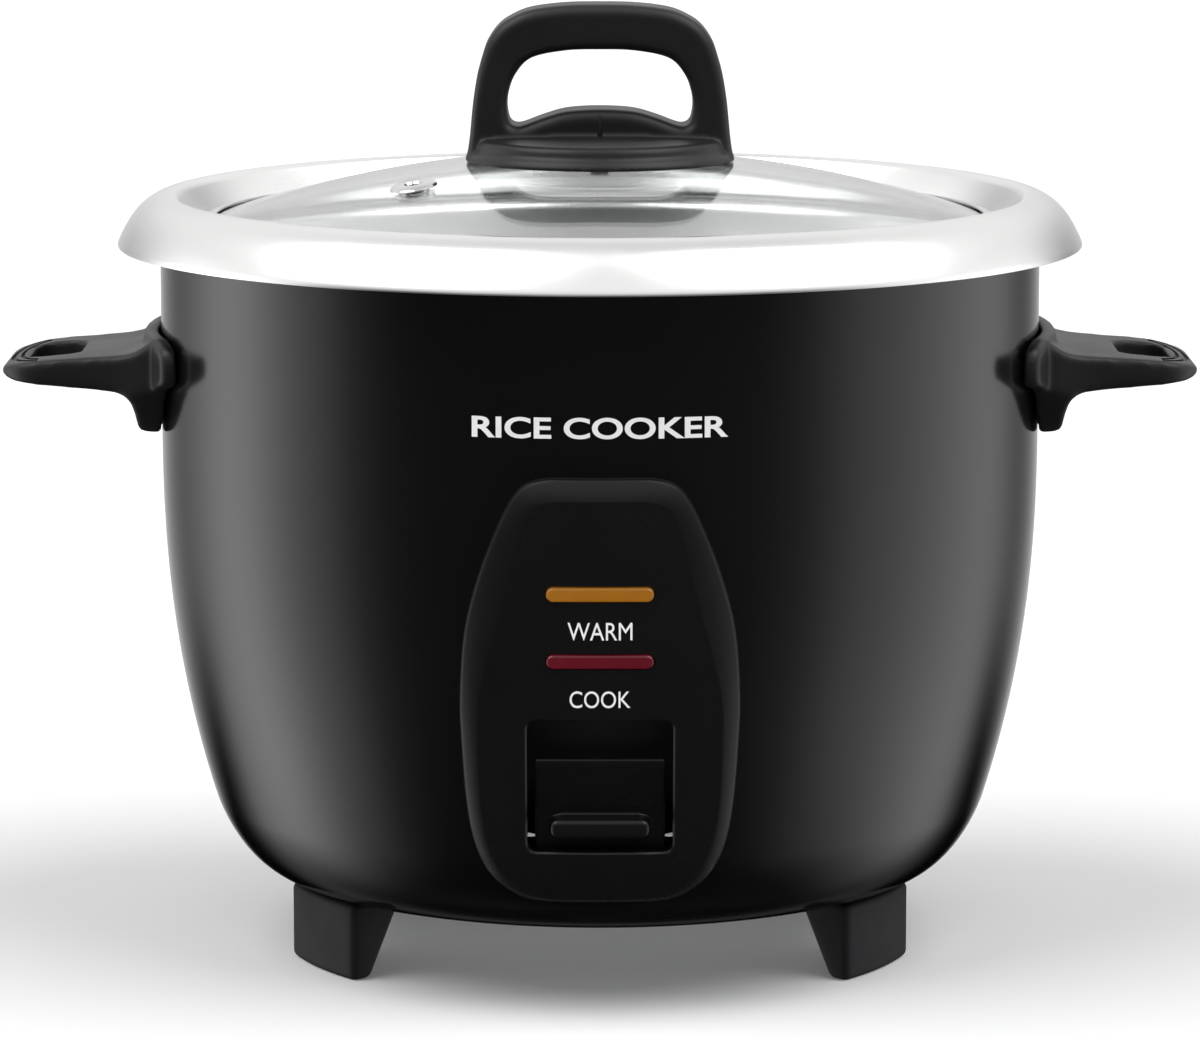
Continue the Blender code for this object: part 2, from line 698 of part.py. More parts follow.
def make_feet():
    """Four moulded feet, clamped with the base plate to the shell's hem by one screw each."""
    outer = FOOT_OUTER + FOOT_SHIFT
    top = BASE_Z - SEAT_GAP
    levels = (
        (0.0, outer - FOOT_TOE, outer),
        (top - FOOT_ROOT_HEIGHT, outer - FOOT_ROOT + 2.0, outer),
        (top, outer - FOOT_ROOT, outer),
    )
    steps = 4
    shape = bmesh.new()
    rings = []
    for height, inner, rim in levels:
        half = FOOT_SPREAD / 2
        points = arc((0, 0), rim, -half, half, steps) + arc((0, 0), inner, half, -half, steps)
        rings.append([shape.verts.new((x, y, height)) for x, y in points])
    for ring in (rings[0], rings[-1]):
        for i in range(steps):
            shape.faces.new((ring[i], ring[i + 1], ring[-2 - i], ring[-1 - i]))
    for ring, upper in zip(rings, rings[1:]):
        for i, vert in enumerate(ring):
            j = (i + 1) % len(ring)
            shape.faces.new((vert, ring[j], upper[j], upper[i]))
    radius = Vector(foot_screw_places()[0]).length
    boss_top = BASE_PLATE_BOTTOM - SEAT_GAP
    boss = turned([(0.0, top - 2), (FOOT_BOSS, top - 2), (FOOT_BOSS, boss_top), (0.0, boss_top)], SMALL_ROUND)
    bmesh.ops.translate(boss, vec=(radius, 0, 0), verts=boss.verts[:])
    first = join(mesh_object("foot_front_right", shape, "black_plastic"), boss)
    cut(first, screw_hole((radius, 0, boss_top - 12), (radius, 0, boss_top + 1)))
    first.rotation_euler.z = math.radians(-FOOT_ANGLE)
    bpy.context.view_layer.update()
    names = ("foot_front_right", "foot_rear_right", "foot_rear_left", "foot_front_left")
    turns = (0, 2 * FOOT_ANGLE, 180, 180 + 2 * FOOT_ANGLE)
    for name, turn in list(zip(names, turns))[1:]:
        copy_object(first, name, Matrix.Rotation(math.radians(turn), 4, "Z"))
    for name, (x, y) in zip(names, foot_screw_places()):
        head = (x, y, BASE_PLATE_TOP + SEAT_GAP)
        pan_screw(name.replace("foot", "foot_screw"), head, (x, y, boss_top - 11))


def make_handles():
    """Two moulded side handles, each held by two screws from inside the shell."""
    top = BODY_TOP - HANDLE_DROP
    tip = BODY_RADIUS + HANDLE_REACH
    root = BODY_RADIUS - 12
    above = [(BODY_RADIUS + reach, top + drop) for reach, drop in HANDLE_TOP_LINE]
    below = [(BODY_RADIUS + reach, top + drop) for reach, drop in HANDLE_UNDER_LINE]
    side_view = [(root, above[0][1]), *above, (tip, top - 13.5), *below, (root, below[-1][1])]
    grip = mesh_object(
        "handle_right",
        prism(side_view, -HANDLE_GRIP_HALF - 5, HANDLE_GRIP_HALF + 5, "Y"),
        "black_plastic",
    )
    plan = [(root, -HANDLE_GRIP_HALF - 3)]
    corner = (tip - HANDLE_TIP_CORNER, -HANDLE_GRIP_HALF + HANDLE_TIP_CORNER + 2)
    plan += arc(corner, HANDLE_TIP_CORNER, -75, 0, 3)
    plan += [(x, -y) for x, y in plan[::-1]]
    boolean(grip, mesh_object("plan", prism(plan, top - 60, top + 20)), "INTERSECT")
    cut(grip, turned([(0.0, top - 60), (BODY_RADIUS + CURVED_GAP, top - 60),
                      (BODY_RADIUS + CURVED_GAP, top + 20), (0.0, top + 20)]))
    rows = raised(HANDLE_PLATE, top)
    face = shrunk(rows, 1.5)
    join(grip, wrapped(((CURVED_GAP, rows), (HANDLE_LIFT - 1.5, rows), (HANDLE_LIFT, face)), 0))
    slot_outer = tip - HANDLE_SLOT_FROM_TIP
    slot = rounded_rectangle(slot_outer - HANDLE_SLOT, slot_outer, -HANDLE_SLOT_HALF, HANDLE_SLOT_HALF, 5)
    cut(grip, prism(slot, top - 60, top + 20))
    z = top - HANDLE_SCREW_DROP
    head_x = math.sqrt((BODY_RADIUS - SHELL_SHEET) ** 2 - (HANDLE_SCREW_HALF + SCREW_HEAD) ** 2) - CURVED_GAP
    tip_x = BODY_RADIUS + 10
    places = (-HANDLE_SCREW_HALF, HANDLE_SCREW_HALF)
    cut(grip, *[screw_hole((head_x, y, z), (tip_x + 1, y, z)) for y in places])
    copy_object(grip, "handle_left", Matrix.Rotation(math.pi, 4, "Z"))
    for side, sign in (("right", 1), ("left", -1)):
        for end, y in zip(("front", "rear"), places):
            pan_screw(f"handle_screw_{side}_{end}", (sign * head_x, y, z), (sign * tip_x, y, z))


# Control panel


def front(height, lift):
    """Y of a point on the front centre line, `lift` outside the shell, at a height above its underside."""
    return -(body_radius(BASE_Z + height) + lift)


def pill(half_length, height):
    """Outline of a bar with round ends, about the origin."""
    radius = height / 2
    right = arc((half_length - radius, 0), radius, -90, 90, 4)
    return right + [(-x, -y) for x, y in right]


def panel_rows(outline):
    """Rows of (height, half width) from an outline given relative to the window and the shell's underside."""
    return [(BASE_Z + height, WINDOW_HALF_WIDTH + past_window) for height, past_window in outline]


def make_panel():
    """Moulded control panel: hollow, with a window for the lever and two slots for the lenses."""
    rows, face = panel_rows(PANEL_OUTLINE), panel_rows(PANEL_FACE)
    panel = mesh_object(
        "control_panel",
        wrapped(((CURVED_GAP, rows), (PANEL_EDGE, rows), (PANEL_LIFT, face)), -90),
        "black_plastic",
    )
    hollow = shrunk(face, PANEL_WALL)
    cut(panel, wrapped(((-3.0, hollow), (PANEL_LIFT - PANEL_WALL, hollow)), -90))
    ahead = -BODY_RADIUS - 20
    for side, height in PANEL_SCREWS:
        z = BASE_Z + height
        near, far = max(abs(side) - PANEL_BOSS, 0), abs(side) + PANEL_BOSS
        back = on_body(near, z + PANEL_BOSS, CURVED_GAP, -90).y
        face_y = on_body(far, z - PANEL_BOSS, PANEL_LIFT - PANEL_WALL / 2, -90).y
        join(panel, rod(PANEL_BOSS, (side, back, z), (side, face_y, z)))
        cut(panel, screw_hole((side, back + 4, z), (side, face_y + 1.2, z)))
        head_y = on_body(abs(side) + SCREW_HEAD, z - SCREW_HEAD, -SHELL_SHEET - CURVED_GAP, -90).y
        pan_screw(panel_screw_name(side), (side, head_y, z), (side, face_y + 1.6, z))
    window = rounded_rectangle(
        -WINDOW_HALF_WIDTH, WINDOW_HALF_WIDTH, BASE_Z + WINDOW_BOTTOM, BASE_Z + WINDOW_TOP, 2.0, 2
    )
    cutters = [prism(window, ahead, -BODY_RADIUS * 0.75, "Y")]
    for height in (WARM_LENS_HEIGHT, COOK_LENS_HEIGHT):
        slot = pill(LENS_HALF_LENGTH + BORE_GAP, LENS_HEIGHT + 2 * BORE_GAP)
        cutters.append(prism([(x, z + BASE_Z + height) for x, z in slot], ahead, -BODY_RADIUS * 0.75, "Y"))
    return cut(panel, *cutters)


def panel_screw_name(side):
    """Name of the panel screw at this side."""
    if side == 0:
        return "panel_screw_top"
    return "panel_screw_right" if side > 0 else "panel_screw_left"


def make_lamps():
    """The two lenses in the panel, and behind them the neon lamps in their holder."""
    low = BASE_Z + COOK_LENS_HEIGHT - LAMP_HOLDER_MARGIN
    high = BASE_Z + WARM_LENS_HEIGHT + LAMP_HOLDER_MARGIN
    rows = [(low + (high - low) * i / 3, LAMP_HOLDER_HALF_WIDTH) for i in range(4)]
    outer = -SHELL_SHEET - CURVED_GAP
    holder = mesh_object(
        "lamp_holder",
        wrapped(((outer - LAMP_HOLDER_DEPTH, rows), (outer, rows)), -90),
        "black_plastic",
    )
    for name, height in (("warm", WARM_LENS_HEIGHT), ("cook", COOK_LENS_HEIGHT)):
        z = BASE_Z + height
        outline = [(x, z + dz) for x, dz in pill(LENS_HALF_LENGTH, LENS_HEIGHT)]
        colour = "amber_lens" if name == "warm" else "red_lens"
        lens = prism(outline, front(height, PANEL_LIFT + LENS_PROUD), front(height, -0.4), "Y")
        mesh_object(f"{name}_lens", lens, colour)
        lamp_y = front(height, outer - LAMP_HOLDER_DEPTH / 2)
        lamp_half = LAMP_LENGTH / 2
        room = LAMP_RADIUS + SEAT_GAP
        slot_half = lamp_half + SEAT_GAP
        cut(holder, block((-slot_half, slot_half), (lamp_y - 20, lamp_y + 20), (z - room, z + room)))
        mesh_object(f"{name}_lamp", rod(LAMP_RADIUS, (-lamp_half, lamp_y, z), (lamp_half, lamp_y, z)), colour)


# Cook lever


def arm_path():
    """Middle line of the lever's steel arm as (y, z), from its rear end to the paddle."""
    front_z = ARM_Z + ARM_FRONT_RISE
    end = front(front_z - BASE_Z, -5.0)
    return [
        (ARM_PAST_CENTRE, ARM_Z),
        (end + 22.0, ARM_Z),
        (end + 15.0, front_z),
        (end, front_z),
    ]


def make_lever_arm():
    """Steel arm: a bent strip with two ears round the pivot pin."""
    strip = sheet([(y, z + ARM_SHEET / 2) for y, z in arm_path()], ARM_SHEET)
    arm = mesh_object(
        "lever_arm", prism(strip, -ARM_HALF_WIDTH, ARM_HALF_WIDTH, "X"), "zinc_steel", (0, PIVOT_Y, PIVOT_Z)
    )
    for sign in (-1, 1):
        inner, outer = sorted((sign * (ARM_HALF_WIDTH - ARM_SHEET), sign * ARM_HALF_WIDTH))
        ear = rounded_rectangle(
            PIVOT_Y - EAR_LENGTH / 2, PIVOT_Y + EAR_LENGTH / 2, ARM_Z - 0.3, PIVOT_Z + EAR_LENGTH / 2, 2.0
        )
        join(arm, prism(ear, inner, outer, "X"))
    hole = rod(PIN_RADIUS + BORE_GAP, (-20, PIVOT_Y, PIVOT_Z), (20, PIVOT_Y, PIVOT_Z))
    return cut(arm, hole)


def make_paddle():
    """Moulded paddle: a scooped plate with a ledge to press, pushed onto the arm's front end."""
    path = [(front(height, lift), BASE_Z + height) for height, lift in PADDLE_SCOOP]
    paddle = mesh_object(
        "cook_lever",
        prism(sheet(path, PADDLE_SHEET), -PADDLE_HALF_WIDTH, PADDLE_HALF_WIDTH, "X"),
        "black_plastic",
        (0, PIVOT_Y, PIVOT_Z),
    )
    low, high = LEDGE_BOTTOM, LEDGE_BOTTOM + LEDGE_HEIGHT
    ledge = [
        (front(high, -3.0), BASE_Z + high),
        (front(high, 4.0), BASE_Z + high),
        (front(high, 5.6), BASE_Z + high - 1.2),
        (front(low, 6.0), BASE_Z + low + 1.0),
        (front(low, 4.8), BASE_Z + low),
        (front(low, -2.4), BASE_Z + low),
    ]
    join(paddle, prism(ledge, -LEDGE_HALF_WIDTH, LEDGE_HALF_WIDTH, "X"))
    end_y, end_z = arm_path()[-1]
    stem = block(
        (-STEM_HALF_WIDTH, STEM_HALF_WIDTH),
        (end_y - 2.6, end_y + STEM_LENGTH),
        (end_z - STEM_HEIGHT / 2, end_z + STEM_HEIGHT / 2),
    )
    join(paddle, stem)
    half = ARM_HALF_WIDTH + SEAT_GAP
    room = ARM_SHEET / 2 + SEAT_GAP
    socket = block((-half, half), (end_y - SEAT_GAP, end_y + STEM_LENGTH + 5), (end_z - room, end_z + room))
    return cut(paddle, socket)


def make_lever_bracket():
    """U-shaped bracket on the base plate, with the lever's pivot pin through its ears."""
    inner = ARM_HALF_WIDTH + 2.5
    outer = inner + BRACKET_SHEET
    low = BASE_PLATE_TOP + SEAT_GAP
    start, end = PIVOT_Y - EAR_LENGTH / 2, PIVOT_Y + EAR_LENGTH / 2
    bracket = mesh_object(
        "lever_bracket", block((-outer - 4, outer + 4), (start, end), (low, low + BRACKET_SHEET)), "zinc_steel"
    )
    for sign in (-1, 1):
        near, far = sorted((sign * inner, sign * outer))
        outline = rounded_rectangle(start, end, low + 0.2, PIVOT_Z + EAR_LENGTH / 2, 1.5)
        join(bracket, prism(outline, near, far, "X"))
    cut(bracket, rod(PIN_RADIUS + BORE_GAP, (-20, PIVOT_Y, PIVOT_Z), (20, PIVOT_Y, PIVOT_Z)))
    pin = rod(PIN_RADIUS, (-outer - 1.2, PIVOT_Y, PIVOT_Z), (outer + 1.2, PIVOT_Y, PIVOT_Z))
    mesh_object("lever_pin", pin, "spring_steel")


def make_switch():
    """Microswitch under the lever's arm, and the plunger that the arm pushes down."""
    y = PIVOT_Y + SWITCH_BEHIND_PIVOT
    low = BASE_PLATE_TOP + SEAT_GAP
    high = low + SWITCH_HEIGHT
    half = SWITCH_LENGTH / 2
    case = mesh_object(
        "microswitch",
        block((-SWITCH_HALF_WIDTH, SWITCH_HALF_WIDTH), (y - half, y + half), (low, high)),
        "black_plastic",
    )
    cut(case, rod(PLUNGER_RADIUS + BORE_GAP, (0, y, high - PLUNGER_DEPTH - 2.0), (0, y, high + 1)))
    top = ARM_Z - ARM_SHEET / 2 - SEAT_GAP
    plunger = rod(PLUNGER_RADIUS, (0, y, high - PLUNGER_DEPTH + 0.8), (0, y, top))
    mesh_object("switch_plunger", plunger, "silicone", (0, y, top))


# Heater and thermostat


def element_ends():
    """Angles, in radians, at which the heating element turns down."""
    return [math.radians(90 + sign * ELEMENT_GAP_ANGLE / 2) for sign in (1, -1)]


def make_heater():
    """Cast heating plate, its tubular element, and the spacers and screws that hold it in the liner."""
    ring_z = PLATE_BOTTOM + 0.3 + ELEMENT_RADIUS
    groove = ELEMENT_RADIUS + BORE_GAP
    groove_top = ring_z + groove
    outline = [
        (PLATE_HOLE, PLATE_BOTTOM),
        (ELEMENT_CIRCLE - groove, PLATE_BOTTOM),
        (ELEMENT_CIRCLE - groove, groove_top),
        (ELEMENT_CIRCLE + groove, groove_top),
        (ELEMENT_CIRCLE + groove, PLATE_BOTTOM),
        (PLATE_RADIUS, PLATE_BOTTOM),
        (PLATE_RADIUS, PLATE_TOP - 2.0),
        (PLATE_RADIUS - 3.0, PLATE_TOP),
        (PLATE_HOLE, PLATE_TOP),
    ]
    plate = mesh_object("heating_plate", turned(outline), "aluminium")
    screw_top = PLATE_TOP - 3.6
    places = plate_screw_places()
    cut(plate, *[screw_hole((x, y, PLATE_BOTTOM - 1), (x, y, screw_top)) for x, y in places])
    head_z = LINER_FLOOR - LINER_SHEET - SEAT_GAP
    for number, (x, y) in enumerate(places, 1):
        pan_screw(f"plate_screw_{number}", (x, y, head_z), (x, y, screw_top - 0.4))
        bottom = LINER_FLOOR + SEAT_GAP
        inner = SCREW_RADIUS + BORE_GAP
        ring = turned(
            [(inner, bottom), (SPACER_RADIUS, bottom), (SPACER_RADIUS, bottom + SPACER_HEIGHT),
             (inner, bottom + SPACER_HEIGHT)],
            SMALL_ROUND,
        )
        bmesh.ops.translate(ring, vec=(x, y, 0), verts=ring.verts[:])
        mesh_object(f"plate_spacer_{number}", ring, "zinc_steel")
    start, end = element_ends()
    sweep = 2 * math.pi - math.radians(ELEMENT_GAP_ANGLE)
    steps = 32
    angles = [start + sweep * i / steps for i in range(steps + 1)]
    ring = [(ELEMENT_CIRCLE * math.cos(a), ELEMENT_CIRCLE * math.sin(a), ring_z) for a in angles]
    down = ring_z - ELEMENT_DROP
    path = [(*ring[0][:2], down), *ring, (*ring[-1][:2], down)]
    tube("heating_element", path, ELEMENT_RADIUS, "zinc_steel", 1)


def make_thermostat():
    """Magnetic thermostat: housing under the liner, sprung cap with its ferrite, magnet and spring."""
    flange_top = LINER_FLOOR - LINER_SHEET - SEAT_GAP
    flange_bottom = flange_top - HOUSING_SHEET
    bottom = ARM_Z + ARM_SHEET / 2 + HOUSING_ABOVE_ARM
    hole = MAGNET_ROD + 2.5
    housing = [
        (HOUSING_FLANGE, flange_bottom),
        (HOUSING_FLANGE, flange_top),
        (HOUSING_RADIUS - HOUSING_SHEET, flange_top),
        (HOUSING_RADIUS - HOUSING_SHEET, bottom + HOUSING_SHEET),
        (hole, bottom + HOUSING_SHEET),
        (hole, bottom),
        (HOUSING_RADIUS, bottom),
        (HOUSING_RADIUS, flange_bottom),
    ]
    mesh_object("thermostat_housing", turned(housing, MIDDLE_ROUND), "zinc_steel")
    cap_under = PLATE_TOP - CAP_SHEET
    cap = [
        (0.0, PLATE_TOP),
        (CAP_RADIUS - 1.0, PLATE_TOP),
        (CAP_RADIUS, PLATE_TOP - 1.0),
        (CAP_RADIUS, PLATE_TOP - CAP_HEIGHT),
        (CAP_RADIUS - 1.0, PLATE_TOP - CAP_HEIGHT),
        (CAP_RADIUS - 1.0, cap_under),
        (0.0, cap_under),
    ]
    mesh_object("thermostat_cap", turned(cap, MIDDLE_ROUND), "aluminium", (0, 0, PLATE_TOP))
    ferrite_top = cap_under - SEAT_GAP
    ferrite_bottom = ferrite_top - FERRITE_HEIGHT
    ferrite = rod(FERRITE_RADIUS, (0, 0, ferrite_bottom), (0, 0, ferrite_top), MIDDLE_ROUND)
    mesh_object("thermostat_ferrite", ferrite, "ferrite", (0, 0, ferrite_top))
    magnet_top = ferrite_bottom - CAP_TRAVEL - SEAT_GAP
    magnet_bottom = magnet_top - MAGNET_HEIGHT
    rod_end = ARM_Z + ARM_SHEET / 2 + SEAT_GAP
    magnet = [
        (0.0, magnet_top),
        (MAGNET_RADIUS, magnet_top),
        (MAGNET_RADIUS, magnet_bottom),
        (MAGNET_ROD, magnet_bottom),
        (MAGNET_ROD, rod_end),
        (0.0, rod_end),
    ]
    mesh_object("thermostat_magnet", turned(magnet, MIDDLE_ROUND), "ferrite", (0, 0, magnet_top))
    seat = bottom + HOUSING_SHEET + SEAT_GAP + SPRING_WIRE
    height = cap_under - SEAT_GAP - SPRING_WIRE - seat
    turn_steps = 10
    steps = SPRING_TURNS * turn_steps
    coil = []
    for i in range(steps + 1):
        angle = 2 * math.pi * i / turn_steps
        rise = seat + height * min(max((i - turn_steps / 2) / (steps - turn_steps), 0), 1)
        coil.append((SPRING_RADIUS * math.cos(angle), SPRING_RADIUS * math.sin(angle), rise))
    tube("thermostat_spring", coil, SPRING_WIRE, "spring_steel", 0)


def make_under_liner():
    """Keep-warm thermostat and thermal fuse, held against the liner's underside."""
    top = LINER_FLOOR - LINER_SHEET - SEAT_GAP
    x, y = KEEP_WARM_PLACE
    disc = rod(KEEP_WARM_RADIUS, (x, y, top - KEEP_WARM_HEIGHT), (x, y, top), MIDDLE_ROUND)
    mesh_object("keep_warm_thermostat", disc, "ferrite")
    x, y = FUSE_PLACE
    half = FUSE_LENGTH / 2
    z = top - FUSE_RADIUS
    mesh_object("thermal_fuse", rod(FUSE_RADIUS, (x - half, y, z), (x + half, y, z)), "silicone")


# Power inlet


def make_inlet():
    """Power inlet at the back: a socket outside the shell, its body through it, and three pins."""
    z = BASE_Z + INLET_HEIGHT
    back = body_radius(z + INLET_HALF_HEIGHT) + INLET_STICKS_OUT
    outline = rounded_rectangle(
        -INLET_HALF_WIDTH, INLET_HALF_WIDTH, z - INLET_HALF_HEIGHT, z + INLET_HALF_HEIGHT, 3.0
    )
    socket = mesh_object("inlet_socket", prism(outline, back - 30, back, "Y"), "black_plastic")
    envelope = [(0.0, BASE_Z), *[(r + CURVED_GAP, h) for r, h in body_outline()], (0.0, BASE_Z + TAPER_HEIGHT)]
    cut(socket, turned(envelope))
    inner_x, inner_z = INLET_INNER_HALF_WIDTH, INLET_INNER_HALF_HEIGHT
    face = back - INLET_DEPTH
    join(socket, block((-inner_x, inner_x), (face, back - 3), (z - inner_z, z + inner_z)))
    hollow = rounded_rectangle(
        -CAVITY_HALF_WIDTH, CAVITY_HALF_WIDTH, z - CAVITY_HALF_HEIGHT, z + CAVITY_HALF_HEIGHT, 2.0, 2
    )
    cutters = [prism(hollow, back - CAVITY_DEPTH, back + 5, "Y")]
    cut(socket, *cutters)
    places = {"line": (-PIN_PITCH, -1.5), "earth": (0.0, 2.5), "neutral": (PIN_PITCH, -1.5)}
    for name, (x, dz) in places.items():
        half_x, half_z = PIN_HALF_SHEET, PIN_HALF_WIDTH
        centre = z + dz
        room_x, room_z = half_x + BORE_GAP, half_z + BORE_GAP
        cut(socket, block((x - room_x, x + room_x), (face - 5, back - 5), (centre - room_z, centre + room_z)))
        start = face - 4
        along = (start, start + PIN_LENGTH + 4)
        pin = block((x - half_x, x + half_x), along, (centre - half_z, centre + half_z))
        mesh_object(f"inlet_pin_{name}", pin, "brass")


# Pot and lid


def make_pot():
    """Stainless pot with its wide lip, rolled over the shell's top, and the ledge that carries the lid."""
    crest = LEDGE_Z + POT_CREST
    crest_inner = LEDGE_OUTER + POT_RECESS_SLOPE
    path = bezier(
        (
            (LIP_RADIUS, LEDGE_Z - POT_LIP_DROP),
            (LIP_RADIUS - 5.3, crest - 1.0),
            (crest_inner + 3.4, crest),
        ),
        4,
    )
    path += [(crest_inner + 1.0, crest - 0.2), (crest_inner, crest - 1.0), (LEDGE_OUTER, LEDGE_Z + 1.5)]
    path += [(LEDGE_OUTER - 1.5, LEDGE_Z), (POT_RADIUS + 1.6, LEDGE_Z), (POT_RADIUS, LEDGE_Z - 1.8)]
    path += arc((POT_RADIUS - POT_CORNER, POT_FLOOR + POT_CORNER), POT_CORNER, 0, -90, 3)
    path.append((0.0, POT_FLOOR))
    return mesh_object("inner_pot", turned(sheet(path, POT_SHEET)), "stainless_steel", (0, 0, POT_FLOOR))


def glass_top(radius):
    """Height of the glass's outer face at this radius."""
    edge = math.sqrt(GLASS_SPHERE**2 - GLASS_RADIUS**2)
    edge_z = LEDGE_Z + SEAT_GAP + RIM_HEIGHT - 1.5
    return edge_z + math.sqrt(GLASS_SPHERE**2 - radius**2) - edge


def make_lid():
    """Glass lid with its rolled steel rim and its steam vent."""
    steps = 4
    radii = [GLASS_RADIUS + (GLASS_HOLE - GLASS_RADIUS) * i / steps for i in range(steps + 1)]
    glass = mesh_object(
        "lid_glass", turned(sheet([(r, glass_top(r)) for r in radii], GLASS_SHEET)), "clear_glass",
        (0, 0, glass_top(0)),
    )
    low = LEDGE_Z + SEAT_GAP
    high = low + RIM_HEIGHT - 0.3
    inner = RIM_RADIUS - RIM_SHEET
    cover = RIM_RADIUS - RIM_SHEET - RIM_COVER
    cover_z = glass_top(cover) + SEAT_GAP
    rim = [
        (cover, low),
        (RIM_RADIUS, low),
        (RIM_RADIUS, high),
        (cover, cover_z + RIM_SHEET),
        (cover, cover_z),
        (inner, high - RIM_SHEET),
        (inner, low + RIM_SHEET),
        (cover, low + RIM_SHEET),
    ]
    mesh_object("lid_rim", turned(rim), "stainless_steel")
    x, y = VENT_PLACE
    radius = math.hypot(x, y)
    normal = Vector((x, y, math.sqrt(GLASS_SPHERE**2 - radius**2))).normalized()
    top = Vector((x, y, glass_top(radius)))
    cut(glass, rod(VENT_NECK + BORE_GAP, top - normal * 8, top + normal * 5))
    under = -GLASS_SHEET - 2 * GLASS_GAP
    outline = [
        (VENT_BORE, 1.6),
        (VENT_RADIUS - 1.5, 1.6),
        (VENT_RADIUS, 0.9),
        (VENT_RADIUS, GLASS_GAP),
        (VENT_NECK, GLASS_GAP),
        (VENT_NECK, under),
        (VENT_RADIUS - 1.0, under),
        (VENT_RADIUS - 1.0, under - 0.8),
        (VENT_BORE, under - 0.8),
    ]
    grommet = turned(outline, 16)
    turn = normal.to_track_quat("Z", "Y").to_matrix().to_4x4()
    bmesh.ops.transform(grommet, matrix=Matrix.Translation(top) @ turn, verts=grommet.verts[:])
    mesh_object("vent_grommet", grommet, "stainless_steel")


def make_knob():
    """Arched lid handle on a round foot, with the screw and washer that hold it through the glass."""
    apex = glass_top(0)
    under = [(r, glass_top(r) + GLASS_GAP) for r in (KNOB_BASE_RADIUS - 0.4, KNOB_BASE_RADIUS / 2, 0.0)]
    height = apex + KNOB_BASE_HEIGHT
    dome = [
        (0.0, height),
        (12.0, height - 1.2),
        (23.0, height - 3.6),
        (KNOB_BASE_RADIUS - 3.4, height - 7.0),
        (KNOB_BASE_RADIUS - 1.0, apex + 2.6),
        (KNOB_BASE_RADIUS, apex - 0.6),
    ]
    knob = mesh_object("lid_knob", turned(dome + under, 28), "black_plastic", (0, 0, apex))
    outer = [(x, apex + z) for x, z in KNOB_ARCH]
    arch = [(KNOB_BASE_RADIUS - 1.6, apex + 3.0), *outer]
    arch += [(-x, z) for x, z in arch[::-1]]
    half = KNOB_DEPTH / 2
    loop = mesh_object("arch", prism(arch, -half, half, "Y"))
    opening = [(x, apex + z) for x, z in KNOB_OPENING]
    opening += [(-x, z) for x, z in opening[::-1]]
    cut(loop, prism(opening, -half - 5, half + 5, "Y"))
    bevel = loop.modifiers.new("Bevel", "BEVEL")
    bevel.width = 2.4 * TO_METRES
    bevel.segments = 2
    bevel.angle_limit = math.radians(50)
    boolean(knob, loop, "UNION")
    screw_top = apex + KNOB_SCREW_DEPTH
    cut(knob, screw_hole((0, 0, apex - 5), (0, 0, screw_top)))
    washer_top = apex - GLASS_SHEET - SEAT_GAP
    inner = SCREW_RADIUS + BORE_GAP
    washer_low = washer_top - WASHER_SHEET
    washer = [
        (inner, washer_low),
        (WASHER_RADIUS, washer_low),
        (WASHER_RADIUS, washer_top),
        (inner, washer_top),
    ]
    mesh_object("knob_washer", turned(washer, MIDDLE_ROUND), "silicone")
    pan_screw("knob_screw", (0, 0, washer_low - SEAT_GAP), (0, 0, screw_top - 0.4), "stainless_steel")


def main():
    """Build every piece of the cooker."""
    clear_scene()
    make_shell()
    make_liner()
    make_base_plate()
    make_feet()
    make_handles()
    make_panel()
    make_lamps()
    make_lever_arm()
    make_paddle()
    make_lever_bracket()
    make_switch()
    make_heater()
    make_thermostat()
    make_under_liner()
    make_inlet()
    make_pot()
    make_lid()
    make_knob()
    shade_round_faces()


main()
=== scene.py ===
"""Looks of an electric rice cooker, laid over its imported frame.

The frame gives every piece its place. Each sub-assembly below models the pieces that show, finishes them, and
hangs them on the frame's bodies. Sizes are in millimetres until a piece is made. +Z is up, the control panel
faces -Y and the side handles lie along X. Turned outlines are lists of (radius, height).
"""

import logging
import math
from collections.abc import Iterator, Sequence
from contextlib import contextmanager
from dataclasses import dataclass, field
from enum import Enum

import bmesh
import bpy
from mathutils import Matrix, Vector

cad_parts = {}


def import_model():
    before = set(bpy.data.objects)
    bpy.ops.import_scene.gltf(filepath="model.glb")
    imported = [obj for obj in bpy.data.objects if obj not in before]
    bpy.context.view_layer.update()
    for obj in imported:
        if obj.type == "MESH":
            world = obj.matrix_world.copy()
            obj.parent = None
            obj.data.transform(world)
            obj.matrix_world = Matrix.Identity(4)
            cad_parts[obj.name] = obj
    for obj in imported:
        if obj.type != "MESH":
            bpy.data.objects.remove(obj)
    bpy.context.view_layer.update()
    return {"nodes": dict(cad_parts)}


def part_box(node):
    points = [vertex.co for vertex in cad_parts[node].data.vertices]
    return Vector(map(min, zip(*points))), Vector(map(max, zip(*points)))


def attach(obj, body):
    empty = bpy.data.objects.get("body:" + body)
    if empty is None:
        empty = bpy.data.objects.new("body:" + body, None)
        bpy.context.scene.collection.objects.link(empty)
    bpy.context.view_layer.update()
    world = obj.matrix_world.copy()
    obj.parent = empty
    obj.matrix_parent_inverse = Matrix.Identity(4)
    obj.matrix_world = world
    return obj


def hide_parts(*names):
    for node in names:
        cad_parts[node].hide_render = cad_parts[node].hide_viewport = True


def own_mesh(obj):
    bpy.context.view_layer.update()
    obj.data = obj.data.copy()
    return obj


Point = tuple[float, float]
Spot = tuple[float, float, float]
Rows = list[Point]

